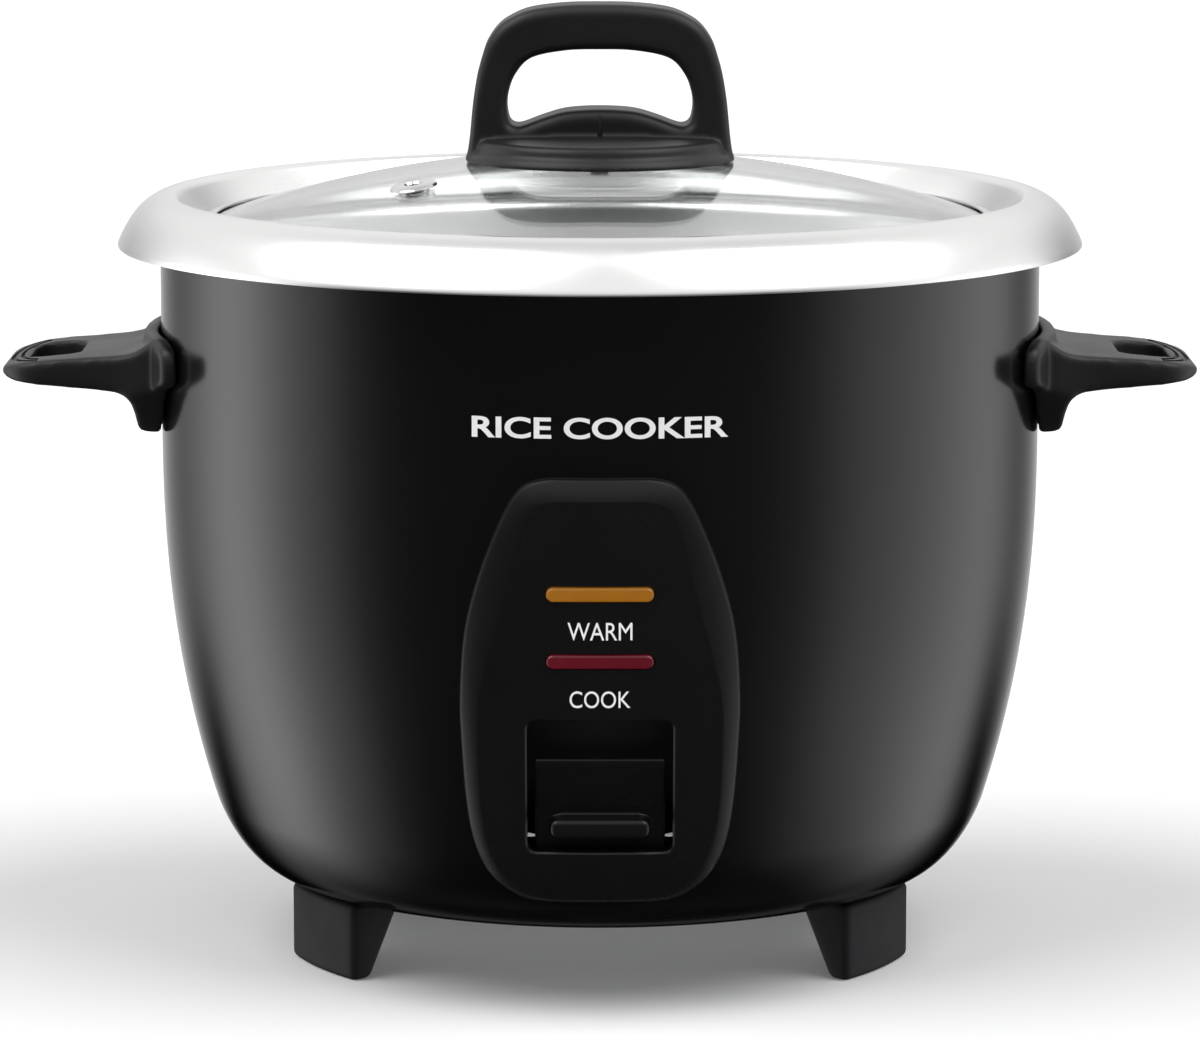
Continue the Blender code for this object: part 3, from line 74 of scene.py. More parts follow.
MM = 0.001
LARGE_ROUND = 144
SMALL_ROUND = 48
FORMER_ROUND = 480
AHEAD = -200.0
MERGE_GAP = 0.002
ON_AXIS = 1e-6
SIDES = ("left", "right")
ENDS = ("front", "rear")
PANEL_SCREWS = ("left", "right", "top")
PLATE_SCREWS = (1, 2, 3)
PINS = ("line", "earth", "neutral")
DRAWN_STRETCH = 40
TURNED_STRETCH = 60
LOG = logging.getLogger("rice_cooker")


# Selecting


def clear_selection() -> None:
    """Leave edit mode and select nothing."""
    if bpy.context.mode != "OBJECT":
        bpy.ops.object.mode_set(mode="OBJECT")
    bpy.ops.object.select_all(action="DESELECT")


def take(*pieces: bpy.types.Object) -> None:
    """Select these pieces only, with the first one active.

    Args:
        *pieces: Pieces to select.
    """
    clear_selection()
    for piece in pieces:
        piece.select_set(True)
    bpy.context.view_layer.objects.active = pieces[0]


@contextmanager
def editing(piece: bpy.types.Object) -> Iterator[None]:
    """Hold a piece in edit mode, with nothing of it selected at the start.

    Args:
        piece: Piece to edit.
    """
    take(piece)
    bpy.ops.object.mode_set(mode="EDIT")
    bpy.ops.mesh.select_mode(type="VERT")
    bpy.ops.mesh.select_all(action="DESELECT")
    yield
    bpy.ops.object.mode_set(mode="OBJECT")


def choose(piece: bpy.types.Object, numbers: Sequence[int]) -> None:
    """Select some vertices and nothing else, in edit mode.

    Args:
        piece: Piece in edit mode.
        numbers: Numbers of the vertices.
    """
    shape = bmesh.from_edit_mesh(piece.data)
    shape.verts.ensure_lookup_table()
    for vert in shape.verts:
        vert.select = False
    for number in numbers:
        shape.verts[number].select = True
    shape.select_flush(False)
    shape.select_flush(True)
    bmesh.update_edit_mesh(piece.data)


def chosen(piece: bpy.types.Object) -> list[int]:
    """Return the numbers of the vertices that are selected in edit mode."""
    return [vert.index for vert in bmesh.from_edit_mesh(piece.data).verts if vert.select]


# Outlines


def arc(centre: Point, radius: float, start: float, end: float, steps: int) -> list[Point]:
    """Lay points along an arc.

    Args:
        centre: Middle of the arc.
        radius: Its radius.
        start: Angle of the first point, in degrees.
        end: Angle of the last point, in degrees.
        steps: Number of spans between points.

    Returns:
        The points in order.
    """
    angles = [math.radians(start + (end - start) * i / steps) for i in range(steps + 1)]
    return [(centre[0] + radius * math.cos(a), centre[1] + radius * math.sin(a)) for a in angles]


def bezier(controls: Sequence[Point], steps: int) -> list[Point]:
    """Lay points along the Bezier curve of these controls.

    Args:
        controls: Control points, ends included.
        steps: Number of spans between points.

    Returns:
        The points in order.
    """
    points = []
    for step in range(steps + 1):
        left = [Vector(control) for control in controls]
        while len(left) > 1:
            left = [a.lerp(b, step / steps) for a, b in zip(left, left[1:])]
        points.append((left[0].x, left[0].y))
    return points


def flowing(points: Sequence[Point], steps: int = 4, closed: bool = False) -> list[Point]:
    """Carry a smooth line through a few points.

    Args:
        points: Points that the line passes.
        steps: Spans between one point and the next.
        closed: Whether the line comes back to its first point.

    Returns:
        The smooth line's points.
    """
    spots = [Vector(point) for point in points]
    count = len(spots)
    line = []
    for i in range(count if closed else count - 1):
        if closed:
            a, b, c, d = (spots[(i + k) % count] for k in (-1, 0, 1, 2))
        else:
            a, b, c, d = (spots[min(max(i + k, 0), count - 1)] for k in (-1, 0, 1, 2))
        for step in range(steps):
            t = step / steps
            spot = 0.5 * (2 * b + (c - a) * t + (2 * a - 5 * b + 4 * c - d) * t**2 + (3 * b - a - 3 * c + d) * t**3)
            line.append((spot.x, spot.y))
    if not closed:
        line.append((spots[-1].x, spots[-1].y))
    return line


def walled(path: Sequence[Point], thickness: float) -> list[Point]:
    """Give a path the section of a sheet.

    Args:
        path: One face of the sheet.
        thickness: How far the other face lies to the left of the path.

    Returns:
        The closed outline of the sheet.
    """
    points = [Vector(point) for point in path]
    ways = [(b - a).normalized() for a, b in zip(points, points[1:])]
    other = []
    for i, point in enumerate(points):
        before, after = ways[max(i - 1, 0)], ways[min(i, len(ways) - 1)]
        middle = (before + after).normalized()
        spot = point + Vector((-middle.y, middle.x)) * thickness / max(middle.dot(after), 0.5)
        other.append((max(spot.x, 0.0) if path[i][0] >= 0 else spot.x, spot.y))
    return [tuple(point) for point in points] + other[::-1]


def rounded_rectangle(low: Point, high: Point, radius: float, steps: int = 5) -> list[Point]:
    """Draw a rectangle with round corners.

    Args:
        low: Its lowest corner.
        high: Its highest corner.
        radius: Radius of the corners.
        steps: Spans in each corner.

    Returns:
        Its outline, anticlockwise.
    """
    corners = ((high[0], low[1], -90), (high[0], high[1], 0), (low[0], high[1], 90), (low[0], low[1], 180))
    middle = ((low[0] + high[0]) / 2, (low[1] + high[1]) / 2)
    points = []
    for x, y, start in corners:
        centre = (x - math.copysign(radius, x - middle[0]), y - math.copysign(radius, y - middle[1]))
        points += arc(centre, radius, start, start + 90, steps)
    return points


def rounded_rows(low: float, high: float, half: float, radius: float) -> Rows:
    """Describe an upright rectangle with round corners as rows.

    Args:
        low: Height of its lower edge.
        high: Height of its upper edge.
        half: Half its width.
        radius: Radius of its corners.

    Returns:
        Rows of (height, half width), from the bottom up.
    """
    turns = [math.radians(90 * i / 4) for i in range(5)]
    corner = [(radius * (1 - math.cos(a)), half - radius * (1 - math.sin(a))) for a in turns]
    middle = [(low + (high - low) * i / 8, half) for i in range(2, 7)]
    return [(low + rise, wide) for rise, wide in corner] + middle + [(high - r, w) for r, w in corner[::-1]]


def shrunk(rows: Rows, margin: float) -> Rows:
    """Draw rows in by a margin on every side.

    Args:
        rows: Rows of (height, half width).
        margin: How far, where a negative one lets them out.

    Returns:
        The new rows.
    """
    low, high = rows[0][0], rows[-1][0]
    middle = (low + high) / 2
    scale = 1 - 2 * margin / (high - low)
    return [(middle + (height - middle) * scale, max(half - margin, 0.5)) for height, half in rows]


# Shaping


class Plane(Enum):
    """How an outline lies, as the turn from a flat drawing, in degrees."""

    TOP = (0, 0, 0)
    FRONT = (90, 0, 0)
    SIDE = (90, 0, 90)


def settle(piece: bpy.types.Object) -> bpy.types.Object:
    """Put a piece's place into its mesh.

    Args:
        piece: Piece that was moved, turned or scaled.

    Returns:
        The same piece, at the origin.
    """
    take(piece)
    bpy.ops.object.transform_apply(location=True, rotation=True, scale=True)
    return piece


def newest(name: str) -> bpy.types.Object:
    """Name and settle the piece that was just added.

    Args:
        name: Name of the piece and of its mesh.

    Returns:
        The piece.
    """
    piece = bpy.context.object
    piece.name = piece.data.name = name
    return settle(piece)


def modify(piece: bpy.types.Object, kind: str, **settings: object) -> bpy.types.Object:
    """Apply a modifier.

    Args:
        piece: Piece that takes it.
        kind: The modifier's type.
        **settings: Its settings.

    Returns:
        The same piece.
    """
    take(piece)
    modifier = piece.modifiers.new(kind.title(), kind)
    for key, value in settings.items():
        setattr(modifier, key, value)
    bpy.ops.object.modifier_apply(modifier=modifier.name)
    return piece


def drop(piece: bpy.types.Object) -> None:
    """Delete a tool that has done its work.

    Args:
        piece: The tool.
    """
    mesh = piece.data
    bpy.data.objects.remove(piece)
    bpy.data.meshes.remove(mesh)


def combine(piece: bpy.types.Object, tool: bpy.types.Object, way: str = "DIFFERENCE") -> bpy.types.Object:
    """Cut a piece with a tool, join them or keep what they share.

    Args:
        piece: Piece that is kept.
        tool: Closed shape that is used up.
        way: DIFFERENCE, UNION or INTERSECT.

    Returns:
        The same piece.
    """
    modify(piece, "BOOLEAN", operation=way, solver="EXACT", object=tool)
    drop(tool)
    return piece


def polish(piece: bpy.types.Object, angle: float = 30.0) -> bpy.types.Object:
    """Shade a piece smooth, except across its sharp edges.

    Args:
        piece: Piece to shade.
        angle: Edges sharper than this stay sharp, in degrees.

    Returns:
        The same piece.
    """
    take(piece)
    bpy.ops.object.shade_smooth_by_angle(angle=math.radians(angle))
    return piece


def close_up(piece: bpy.types.Object) -> bpy.types.Object:
    """Merge doubled points, drop loose ones and turn every face outwards.

    Args:
        piece: Piece to mend.

    Returns:
        The same piece.
    """
    with editing(piece):
        bpy.ops.mesh.select_all(action="SELECT")
        bpy.ops.mesh.remove_doubles(threshold=MERGE_GAP * MM)
        bpy.ops.mesh.delete_loose()
        bpy.ops.mesh.select_all(action="SELECT")
        bpy.ops.mesh.normals_make_consistent(inside=False)
    return piece


def drawn(name: str, outline: Sequence[Point]) -> bpy.types.Object:
    """Draw a line of edges in the plane of X and Z, point by point.

    Args:
        name: Name of the piece.
        outline: Points as (x, z).

    Returns:
        A piece that holds only the line.
    """
    clear_selection()
    x, z = outline[0]
    bpy.ops.mesh.primitive_plane_add(size=MM, location=(x * MM, 0.0, z * MM))
    piece = newest(name)
    with editing(piece):
        bpy.ops.mesh.select_all(action="SELECT")
        bpy.ops.mesh.merge(type="CENTER")
        for before, after in zip(outline, outline[1:]):
            step = ((after[0] - before[0]) * MM, 0.0, (after[1] - before[1]) * MM)
            bpy.ops.mesh.extrude_region_move(TRANSFORM_OT_translate={"value": step})
    return piece


def turned(
    name: str, outline: Sequence[Point], segments: int = LARGE_ROUND, closed: bool = True
) -> bpy.types.Object:
    """Spin an outline about Z.

    Args:
        name: Name of the piece.
        outline: Points as (radius, height).
        segments: Number of facets round the piece.
        closed: Whether the outline comes back to its first point, away from the axis.

    Returns:
        The turned piece.
    """
    points = list(outline)
    on_axis = [i for i, point in enumerate(points) if point[0] < ON_AXIS]
    if len(on_axis) == 2 and on_axis[1] == on_axis[0] + 1:
        points = points[on_axis[1]:] + points[: on_axis[1]]
    elif closed and len(on_axis) < 2:
        points.append(points[0])
    piece = drawn(name, points)
    with editing(piece):
        bpy.ops.mesh.select_all(action="SELECT")
        bpy.ops.mesh.spin(steps=segments, angle=2 * math.pi, center=(0, 0, 0), axis=(0, 0, 1))
    return close_up(piece)


def swept(name: str, outline: Sequence[Point], half_angle: float, steps: int) -> bpy.types.Object:
    """Spin an outline through part of a turn, evenly either side of +X.

    Args:
        name: Name of the piece.
        outline: Closed outline as (radius, height).
        half_angle: Angle to each side, in degrees.
        steps: Number of facets along the curve.

    Returns:
        The closed piece.
    """
    piece = drawn(name, [*outline, outline[0]])
    with editing(piece):
        bpy.ops.mesh.select_all(action="SELECT")
        bpy.ops.mesh.remove_doubles(threshold=MERGE_GAP * MM)
        bpy.ops.mesh.spin(steps=steps, angle=math.radians(2 * half_angle), center=(0, 0, 0), axis=(0, 0, 1))
        bpy.ops.mesh.select_all(action="SELECT")
        bpy.ops.mesh.fill_holes(sides=0)
    close_up(piece)
    first = math.atan2(sum(v.co.y for v in piece.data.vertices), sum(v.co.x for v in piece.data.vertices))
    piece.rotation_euler.z = -first
    return settle(piece)


def cut_out(
    name: str, loops: Sequence[Sequence[Point]], span: Point, plane: Plane, rounding: float = 0.0
) -> bpy.types.Object:
    """Cut a plate from a flat drawing and round its edges.

    Args:
        name: Name of the piece.
        loops: Closed outlines: the outside, then any openings.
        span: Where the plate starts and ends along the axis that the drawing faces.
        plane: How the drawing lies.
        rounding: Radius of its edges.

    Returns:
        The closed plate.
    """
    clear_selection()
    curve = bpy.data.curves.new(name, "CURVE")
    curve.dimensions = "2D"
    curve.fill_mode = "BOTH"
    curve.extrude = (abs(span[1] - span[0]) / 2 - rounding) * MM
    curve.bevel_depth = rounding * MM
    curve.bevel_resolution = 5
    curve.offset = -rounding * MM
    for loop in loops:
        spline = curve.splines.new("POLY")
        spline.points.add(len(loop) - 1)
        for spot, (x, y) in zip(spline.points, loop):
            spot.co = (x * MM, y * MM, 0.0, 1.0)
        spline.use_cyclic_u = True
    piece = bpy.data.objects.new(name, curve)
    bpy.context.scene.collection.objects.link(piece)
    take(piece)
    bpy.ops.object.convert(target="MESH")
    piece = bpy.context.object
    piece.name = piece.data.name = name
    middle = (span[0] + span[1]) / 2 * MM
    piece.rotation_euler = [math.radians(turn) for turn in plane.value]
    piece.location = {Plane.TOP: (0, 0, middle), Plane.FRONT: (0, middle, 0), Plane.SIDE: (middle, 0, 0)}[plane]
    return close_up(settle(piece))


def rounded_block(name: str, low: Spot, high: Spot, rounding: float = 0.0) -> bpy.types.Object:
    """Make a block and round its edges.

    Args:
        name: Name of the piece.
        low: Its lowest corner.
        high: Its highest corner.
        rounding: Radius of its edges.

    Returns:
        The block.
    """
    clear_selection()
    middle = [(a + b) / 2 * MM for a, b in zip(low, high)]
    bpy.ops.mesh.primitive_cube_add(size=1.0, location=middle)
    bpy.context.object.scale = [(b - a) * MM for a, b in zip(low, high)]
    piece = newest(name)
    if rounding:
        modify(piece, "BEVEL", width=rounding * MM, segments=4)
    return piece


def peg(name: str, radius: float, start: Spot, end: Spot) -> bpy.types.Object:
    """Make a round bar between two points.

    Args:
        name: Name of the piece.
        radius: Its radius.
        start: Middle of one end.
        end: Middle of the other end.

    Returns:
        The bar.
    """
    clear_selection()
    first, last = Vector(start) * MM, Vector(end) * MM
    way = last - first
    bpy.ops.mesh.primitive_cylinder_add(
        vertices=SMALL_ROUND, radius=radius * MM, depth=way.length, location=(first + last) / 2,
        rotation=way.to_track_quat("Z", "Y").to_euler(),
    )
    return newest(name)


def weld(name: str, parts: Sequence[bpy.types.Object], grain: float, softening: int) -> bpy.types.Object:
    """Melt overlapping parts into one moulded piece with soft inner corners.

    Args:
        name: Name of the piece.
        parts: Closed parts.
        grain: Distance between the points of the new surface.
        softening: How many times the surface is smoothed.

    Returns:
        The moulded piece.
    """
    take(*parts)
    if len(parts) > 1:
        bpy.ops.object.join()
    piece = bpy.context.object
    piece.name = piece.data.name = name
    modify(piece, "REMESH", mode="VOXEL", voxel_size=grain * MM, adaptivity=0.0, use_smooth_shade=True)
    if softening:
        modify(piece, "SMOOTH", factor=0.5, iterations=softening)
    return piece


def copied(piece: bpy.types.Object, name: str, turn: float) -> bpy.types.Object:
    """Copy a piece with its own mesh, turned about Z.

    Args:
        piece: Piece to copy.
        name: Name of the copy.
        turn: Angle in degrees.

    Returns:
        The copy.
    """
    take(piece)
    bpy.ops.object.duplicate(linked=False)
    other = bpy.context.object
    other.rotation_euler.z = math.radians(turn)
    return newest(name)


# Finishes


class Grain(Enum):
    """Which way a finish's fine marks lie."""

    EVEN = "even"
    TURNED = "turned"
    DRAWN = "drawn"
    SPANGLED = "spangled"


@dataclass(frozen=True)
class Finish:
    """One finish, with marks, patches and a slight unevenness made by its nodes."""

    name: str
    colour: tuple[float, float, float]
    roughness: float
    grain: Grain = Grain.EVEN
    spacing: float = 0.4
    depth: float = 0.01
    patch: float = 25.0
    shade: float = 0.08
    unevenness: float = 0.05
    metallic: float = 0.0
    specular: float = 0.5
    refraction: float = 1.5
    transmission: float = 0.0
    glow: float = 0.0
    marks_weight: float = 0.35
    bump_strength: float = 0.6

    def material(self) -> bpy.types.Material:
        """Make the finish's material the first time, and find it after that.

        Returns:
            The material.
        """
        made = bpy.data.materials.get(self.name)
        if made:
            return made
        made = bpy.data.materials.new(self.name)
        made.use_nodes = True
        tree = made.node_tree
        shader = tree.nodes["Principled BSDF"]
        for socket, value in (
            ("Metallic", self.metallic),
            ("Specular IOR Level", self.specular),
            ("IOR", self.refraction),
            ("Transmission Weight", self.transmission),
            ("Emission Color", (*self.colour, 1.0)),
            ("Emission Strength", self.glow),
        ):
            shader.inputs[socket].default_value = value
        marks, patches = self.marks(tree), self.patches(tree)
        mixed = worked_out(tree, "MULTIPLY_ADD", marks, self.marks_weight, patches)
        spread = add_node(tree, "ShaderNodeMapRange")
        for socket, value in (
            ("From Min", self.marks_weight), ("From Max", 1.0),
            ("To Min", max(self.roughness - self.unevenness, 0.01)), ("To Max", self.roughness + self.unevenness),
        ):
            spread.inputs[socket].default_value = value
        tree.links.new(mixed, spread.inputs["Value"])
        tree.links.new(spread.outputs["Result"], shader.inputs["Roughness"])
        tone = add_node(tree, "ShaderNodeMix", data_type="RGBA")
        tone.inputs[6].default_value = (*[c * (1 - self.shade) for c in self.colour], 1.0)
        tone.inputs[7].default_value = (*[min(c * (1 + self.shade), 1.0) for c in self.colour], 1.0)
        tree.links.new(mixed, tone.inputs[0])
        tree.links.new(tone.outputs[2], shader.inputs["Base Color"])
        bump = add_node(tree, "ShaderNodeBump")
        bump.inputs["Strength"].default_value = self.bump_strength
        bump.inputs["Distance"].default_value = self.depth * MM
        tree.links.new(marks, bump.inputs["Height"])
        tree.links.new(bump.outputs["Normal"], shader.inputs["Normal"])
        return made

    def patches(self, tree: bpy.types.NodeTree) -> bpy.types.NodeSocket:
        """Lay a slow, cloudy value that spreads handling marks and small differences of tone.

        Args:
            tree: The material's nodes.

        Returns:
            The cloudy value.
        """
        place = add_node(tree, "ShaderNodeTexCoord")
        cloud = add_node(tree, "ShaderNodeTexNoise")
        cloud.inputs["Scale"].default_value = 1.0 / (self.patch * MM)
        cloud.inputs["Detail"].default_value = 4.0
        tree.links.new(place.outputs["Object"], cloud.inputs["Vector"])
        return cloud.outputs[0]

    def marks(self, tree: bpy.types.NodeTree) -> bpy.types.NodeSocket:
        """Lay the finish's fine marks, as its grain does.

        Args:
            tree: The material's nodes.

        Returns:
            The marks' value.
        """
        place = add_node(tree, "ShaderNodeTexCoord").outputs["Object"]
        close = 1.0 / (self.spacing * MM)
        if self.grain is Grain.SPANGLED:
            cells = add_node(tree, "ShaderNodeTexVoronoi")
            cells.inputs["Scale"].default_value = close
            tree.links.new(place, cells.inputs["Vector"])
            return cells.outputs["Distance"]
        fine = add_node(tree, "ShaderNodeTexNoise")
        fine.inputs["Scale"].default_value = 1.0
        fine.inputs["Detail"].default_value = 3.0
        stretch = add_node(tree, "ShaderNodeMapping")
        stretch.inputs["Scale"].default_value = (close, close, close)
        if self.grain is Grain.DRAWN:
            stretch.inputs["Scale"].default_value = (close / DRAWN_STRETCH, close, close)
        if self.grain is Grain.TURNED:
            place = self.ringed(tree, place)
            stretch.inputs["Scale"].default_value = (close / TURNED_STRETCH, close / TURNED_STRETCH, close)
        tree.links.new(place, stretch.inputs["Vector"])
        tree.links.new(stretch.outputs[0], fine.inputs["Vector"])
        return fine.outputs[0]

    @staticmethod
    def ringed(tree: bpy.types.NodeTree, place: bpy.types.NodeSocket) -> bpy.types.NodeSocket:
        """Swap height for height plus radius, so that close marks run round the piece.

        Args:
            tree: The material's nodes.
            place: Where the surface is.

        Returns:
            The new place.
        """
        apart = add_node(tree, "ShaderNodeSeparateXYZ")
        flat = add_node(tree, "ShaderNodeCombineXYZ")
        reach = add_node(tree, "ShaderNodeVectorMath", operation="LENGTH")
        together = add_node(tree, "ShaderNodeCombineXYZ")
        tree.links.new(place, apart.inputs[0])
        for axis in (0, 1):
            tree.links.new(apart.outputs[axis], flat.inputs[axis])
            tree.links.new(apart.outputs[axis], together.inputs[axis])
        tree.links.new(flat.outputs[0], reach.inputs[0])
        total = worked_out(tree, "ADD", reach.outputs["Value"], apart.outputs[2])
        tree.links.new(total, together.inputs[2])
        return together.outputs[0]


def add_node(tree: bpy.types.NodeTree, kind: str, **settings: object) -> bpy.types.Node:
    """Add a node to a tree.

    Args:
        tree: The nodes it joins.
        kind: The node's type.
        **settings: Its settings.

    Returns:
        The node.
    """
    node = tree.nodes.new(kind)
    for key, value in settings.items():
        setattr(node, key, value)
    return node


def worked_out(tree: bpy.types.NodeTree, operation: str, *values: object) -> bpy.types.NodeSocket:
    """Work out a sum on sockets and numbers.

    Args:
        tree: The nodes it joins.
        operation: The kind of sum.
        *values: Its sockets or numbers, in order.

    Returns:
        The result.
    """
    node = add_node(tree, "ShaderNodeMath", operation=operation)
    for socket, value in zip(node.inputs, values):
        if isinstance(value, bpy.types.NodeSocket):
            tree.links.new(value, socket)
        else:
            socket.default_value = value
    return node.outputs[0]


def eased(
    tree: bpy.types.NodeTree, value: bpy.types.NodeSocket, start: Point, end: Point = (0.0, 1.0)
) -> bpy.types.NodeSocket:
    """Carry a value smoothly from one range to another.

    Args:
        tree: The nodes it joins.
        value: The value.
        start: Ends of its range.
        end: What it becomes at those ends.

    Returns:
        The new value.
    """
    node = add_node(tree, "ShaderNodeMapRange", interpolation_type="SMOOTHSTEP")
    for socket, number in zip(("From Min", "From Max", "To Min", "To Max"), (*start, *end)):
        node.inputs[socket].default_value = number
    tree.links.new(value, node.inputs["Value"])
    return node.outputs["Result"]


ENAMEL = Finish(
    "gloss_black_enamel", (0.0022, 0.0022, 0.0026), 0.13, spacing=1.6, depth=0.004, patch=60,
    shade=0.3, unevenness=0.02, specular=0.5,
)
MOULDED = Finish(
    "moulded_black_plastic", (0.0075, 0.0075, 0.0085), 0.42, spacing=0.35, depth=0.02, patch=18,
    shade=0.15, unevenness=0.06, specular=0.3,
)
RUBBERY = Finish(
    "matt_foot_plastic", (0.0095, 0.0095, 0.0115), 0.62, spacing=0.5, depth=0.03, patch=12,
    shade=0.18, unevenness=0.06, specular=0.16,
)
PANEL_PLASTIC = Finish(
    "satin_panel_plastic", (0.0045, 0.0045, 0.0052), 0.27, spacing=0.3, depth=0.01, patch=22,
    shade=0.15, unevenness=0.04, specular=0.3,
)
SATIN_STEEL = Finish(
    "satin_stainless_steel", (0.86, 0.86, 0.855), 0.24, Grain.TURNED, spacing=0.25, depth=0.006, patch=45,
    shade=0.03, unevenness=0.05, metallic=1.0,
)
BRIGHT_STEEL = Finish(
    "bright_stainless_steel", (0.72, 0.72, 0.72), 0.12, spacing=0.3, depth=0.004, patch=6,
    shade=0.04, unevenness=0.04, metallic=1.0,
)
ALUMINIUM = Finish(
    "spun_aluminium", (0.78, 0.78, 0.79), 0.3, Grain.TURNED, spacing=0.35, depth=0.01, patch=30,
    shade=0.06, unevenness=0.08, metallic=1.0,
)
CAST = Finish(
    "cast_aluminium", (0.6, 0.6, 0.61), 0.42, spacing=0.5, depth=0.03, patch=14, shade=0.1, unevenness=0.08,
    metallic=1.0,
)
ZINC = Finish(
    "zinc_plated_steel", (0.55, 0.56, 0.56), 0.36, Grain.SPANGLED, spacing=3.0, depth=0.006, patch=20,
    shade=0.12, unevenness=0.09, metallic=1.0,
)
SCREW_STEEL = Finish(
    "screw_steel", (0.5, 0.5, 0.49), 0.33, spacing=0.2, depth=0.01, patch=3, shade=0.15, unevenness=0.08,
    metallic=1.0,
)
CLEAR_GLASS = Finish(
    "tempered_glass", (0.97, 0.985, 0.98), 0.012, spacing=9.0, depth=0.003, patch=35, shade=0.01,
    unevenness=0.01, transmission=1.0, refraction=1.48,
)
# Both lens finishes carry painted light: a glow of 0.3 makes the lens plastic give out light of its own.
AMBER = Finish(
    "amber_lens_plastic", (0.24, 0.092, 0.007), 0.08, Grain.DRAWN, spacing=0.6, depth=0.03, patch=6,
    shade=0.2, unevenness=0.04, glow=0.3,
)
RED = Finish(
    "red_lens_plastic", (0.075, 0.004, 0.0095), 0.08, Grain.DRAWN, spacing=0.6, depth=0.03, patch=6,
    shade=0.2, unevenness=0.04, glow=0.3,
)
# Painted shade: a flat black laid on the liner's outside, where the body's inside lies in shade, so that no lit
# aluminium shows beside the lever.
PAINTED_SHADE_BLACK = Finish(
    "painted_shade_black", (0.012, 0.012, 0.014), 0.6, spacing=0.8, depth=0.02, patch=20, shade=0.2,
    unevenness=0.08, specular=0.3,
)
BRASS = Finish(
    "drawn_brass", (0.72, 0.5, 0.22), 0.28, spacing=0.3, depth=0.008, patch=4, shade=0.1, unevenness=0.07,
    metallic=1.0,
)
FERRITE = Finish(
    "sintered_ferrite", (0.035, 0.035, 0.038), 0.6, spacing=0.5, depth=0.04, patch=5, shade=0.3, unevenness=0.1,
)
SILICONE = Finish(
    "white_silicone", (0.7, 0.7, 0.68), 0.55, spacing=0.8, depth=0.02, patch=6, shade=0.06, unevenness=0.08,
)
PRINT = Finish(
    "white_print", (0.86, 0.86, 0.86), 0.45, spacing=0.3, depth=0.004, patch=4, shade=0.05, unevenness=0.06,
)


def dress(piece: bpy.types.Object, finish: Finish) -> bpy.types.Object:
    """Give a piece a finish as its only material.

    Args:
        piece: Piece to dress.
        finish: Its finish.

    Returns:
        The same piece.
    """
    piece.data.materials.clear()
    piece.data.materials.append(finish.material())
    return piece


@dataclass(frozen=True)
class Role:
    """What a piece is to the frame: the body it rides on, its material slot and the nodes it stands for."""

    body: str
    slot: str
    nodes: tuple[str, ...] = ()


def hand_over(piece: bpy.types.Object, finish: Finish, role: Role, angle: float = 30.0) -> bpy.types.Object:
    """Shade, dress and log a finished piece, and hang it on the frame.

    Args:
        piece: The finished piece.
        finish: Its finish.
        role: What it is to the frame.
        angle: Edges sharper than this stay sharp.

    Returns:
        The same piece.
    """
    polish(piece, angle)
    dress(piece, finish)
    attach(piece, role.body)
    if role.nodes:
        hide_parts(*role.nodes)
    LOG.info("made %s, %d points, on %s", piece.name, len(piece.data.vertices), role.body)
    return piece


@dataclass(frozen=True)
class Space:
    """Where a node of the frame stands."""

    low: Vector
    high: Vector

    @classmethod
    def of(cls, node: str) -> "Space":
        """Return the space of this node, in millimetres."""
        low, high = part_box(node)
        return cls(low / MM, high / MM)

    @property
    def middle(self) -> Vector:
        """Middle of the space."""
        return (self.low + self.high) / 2


# The shell, which many pieces follow


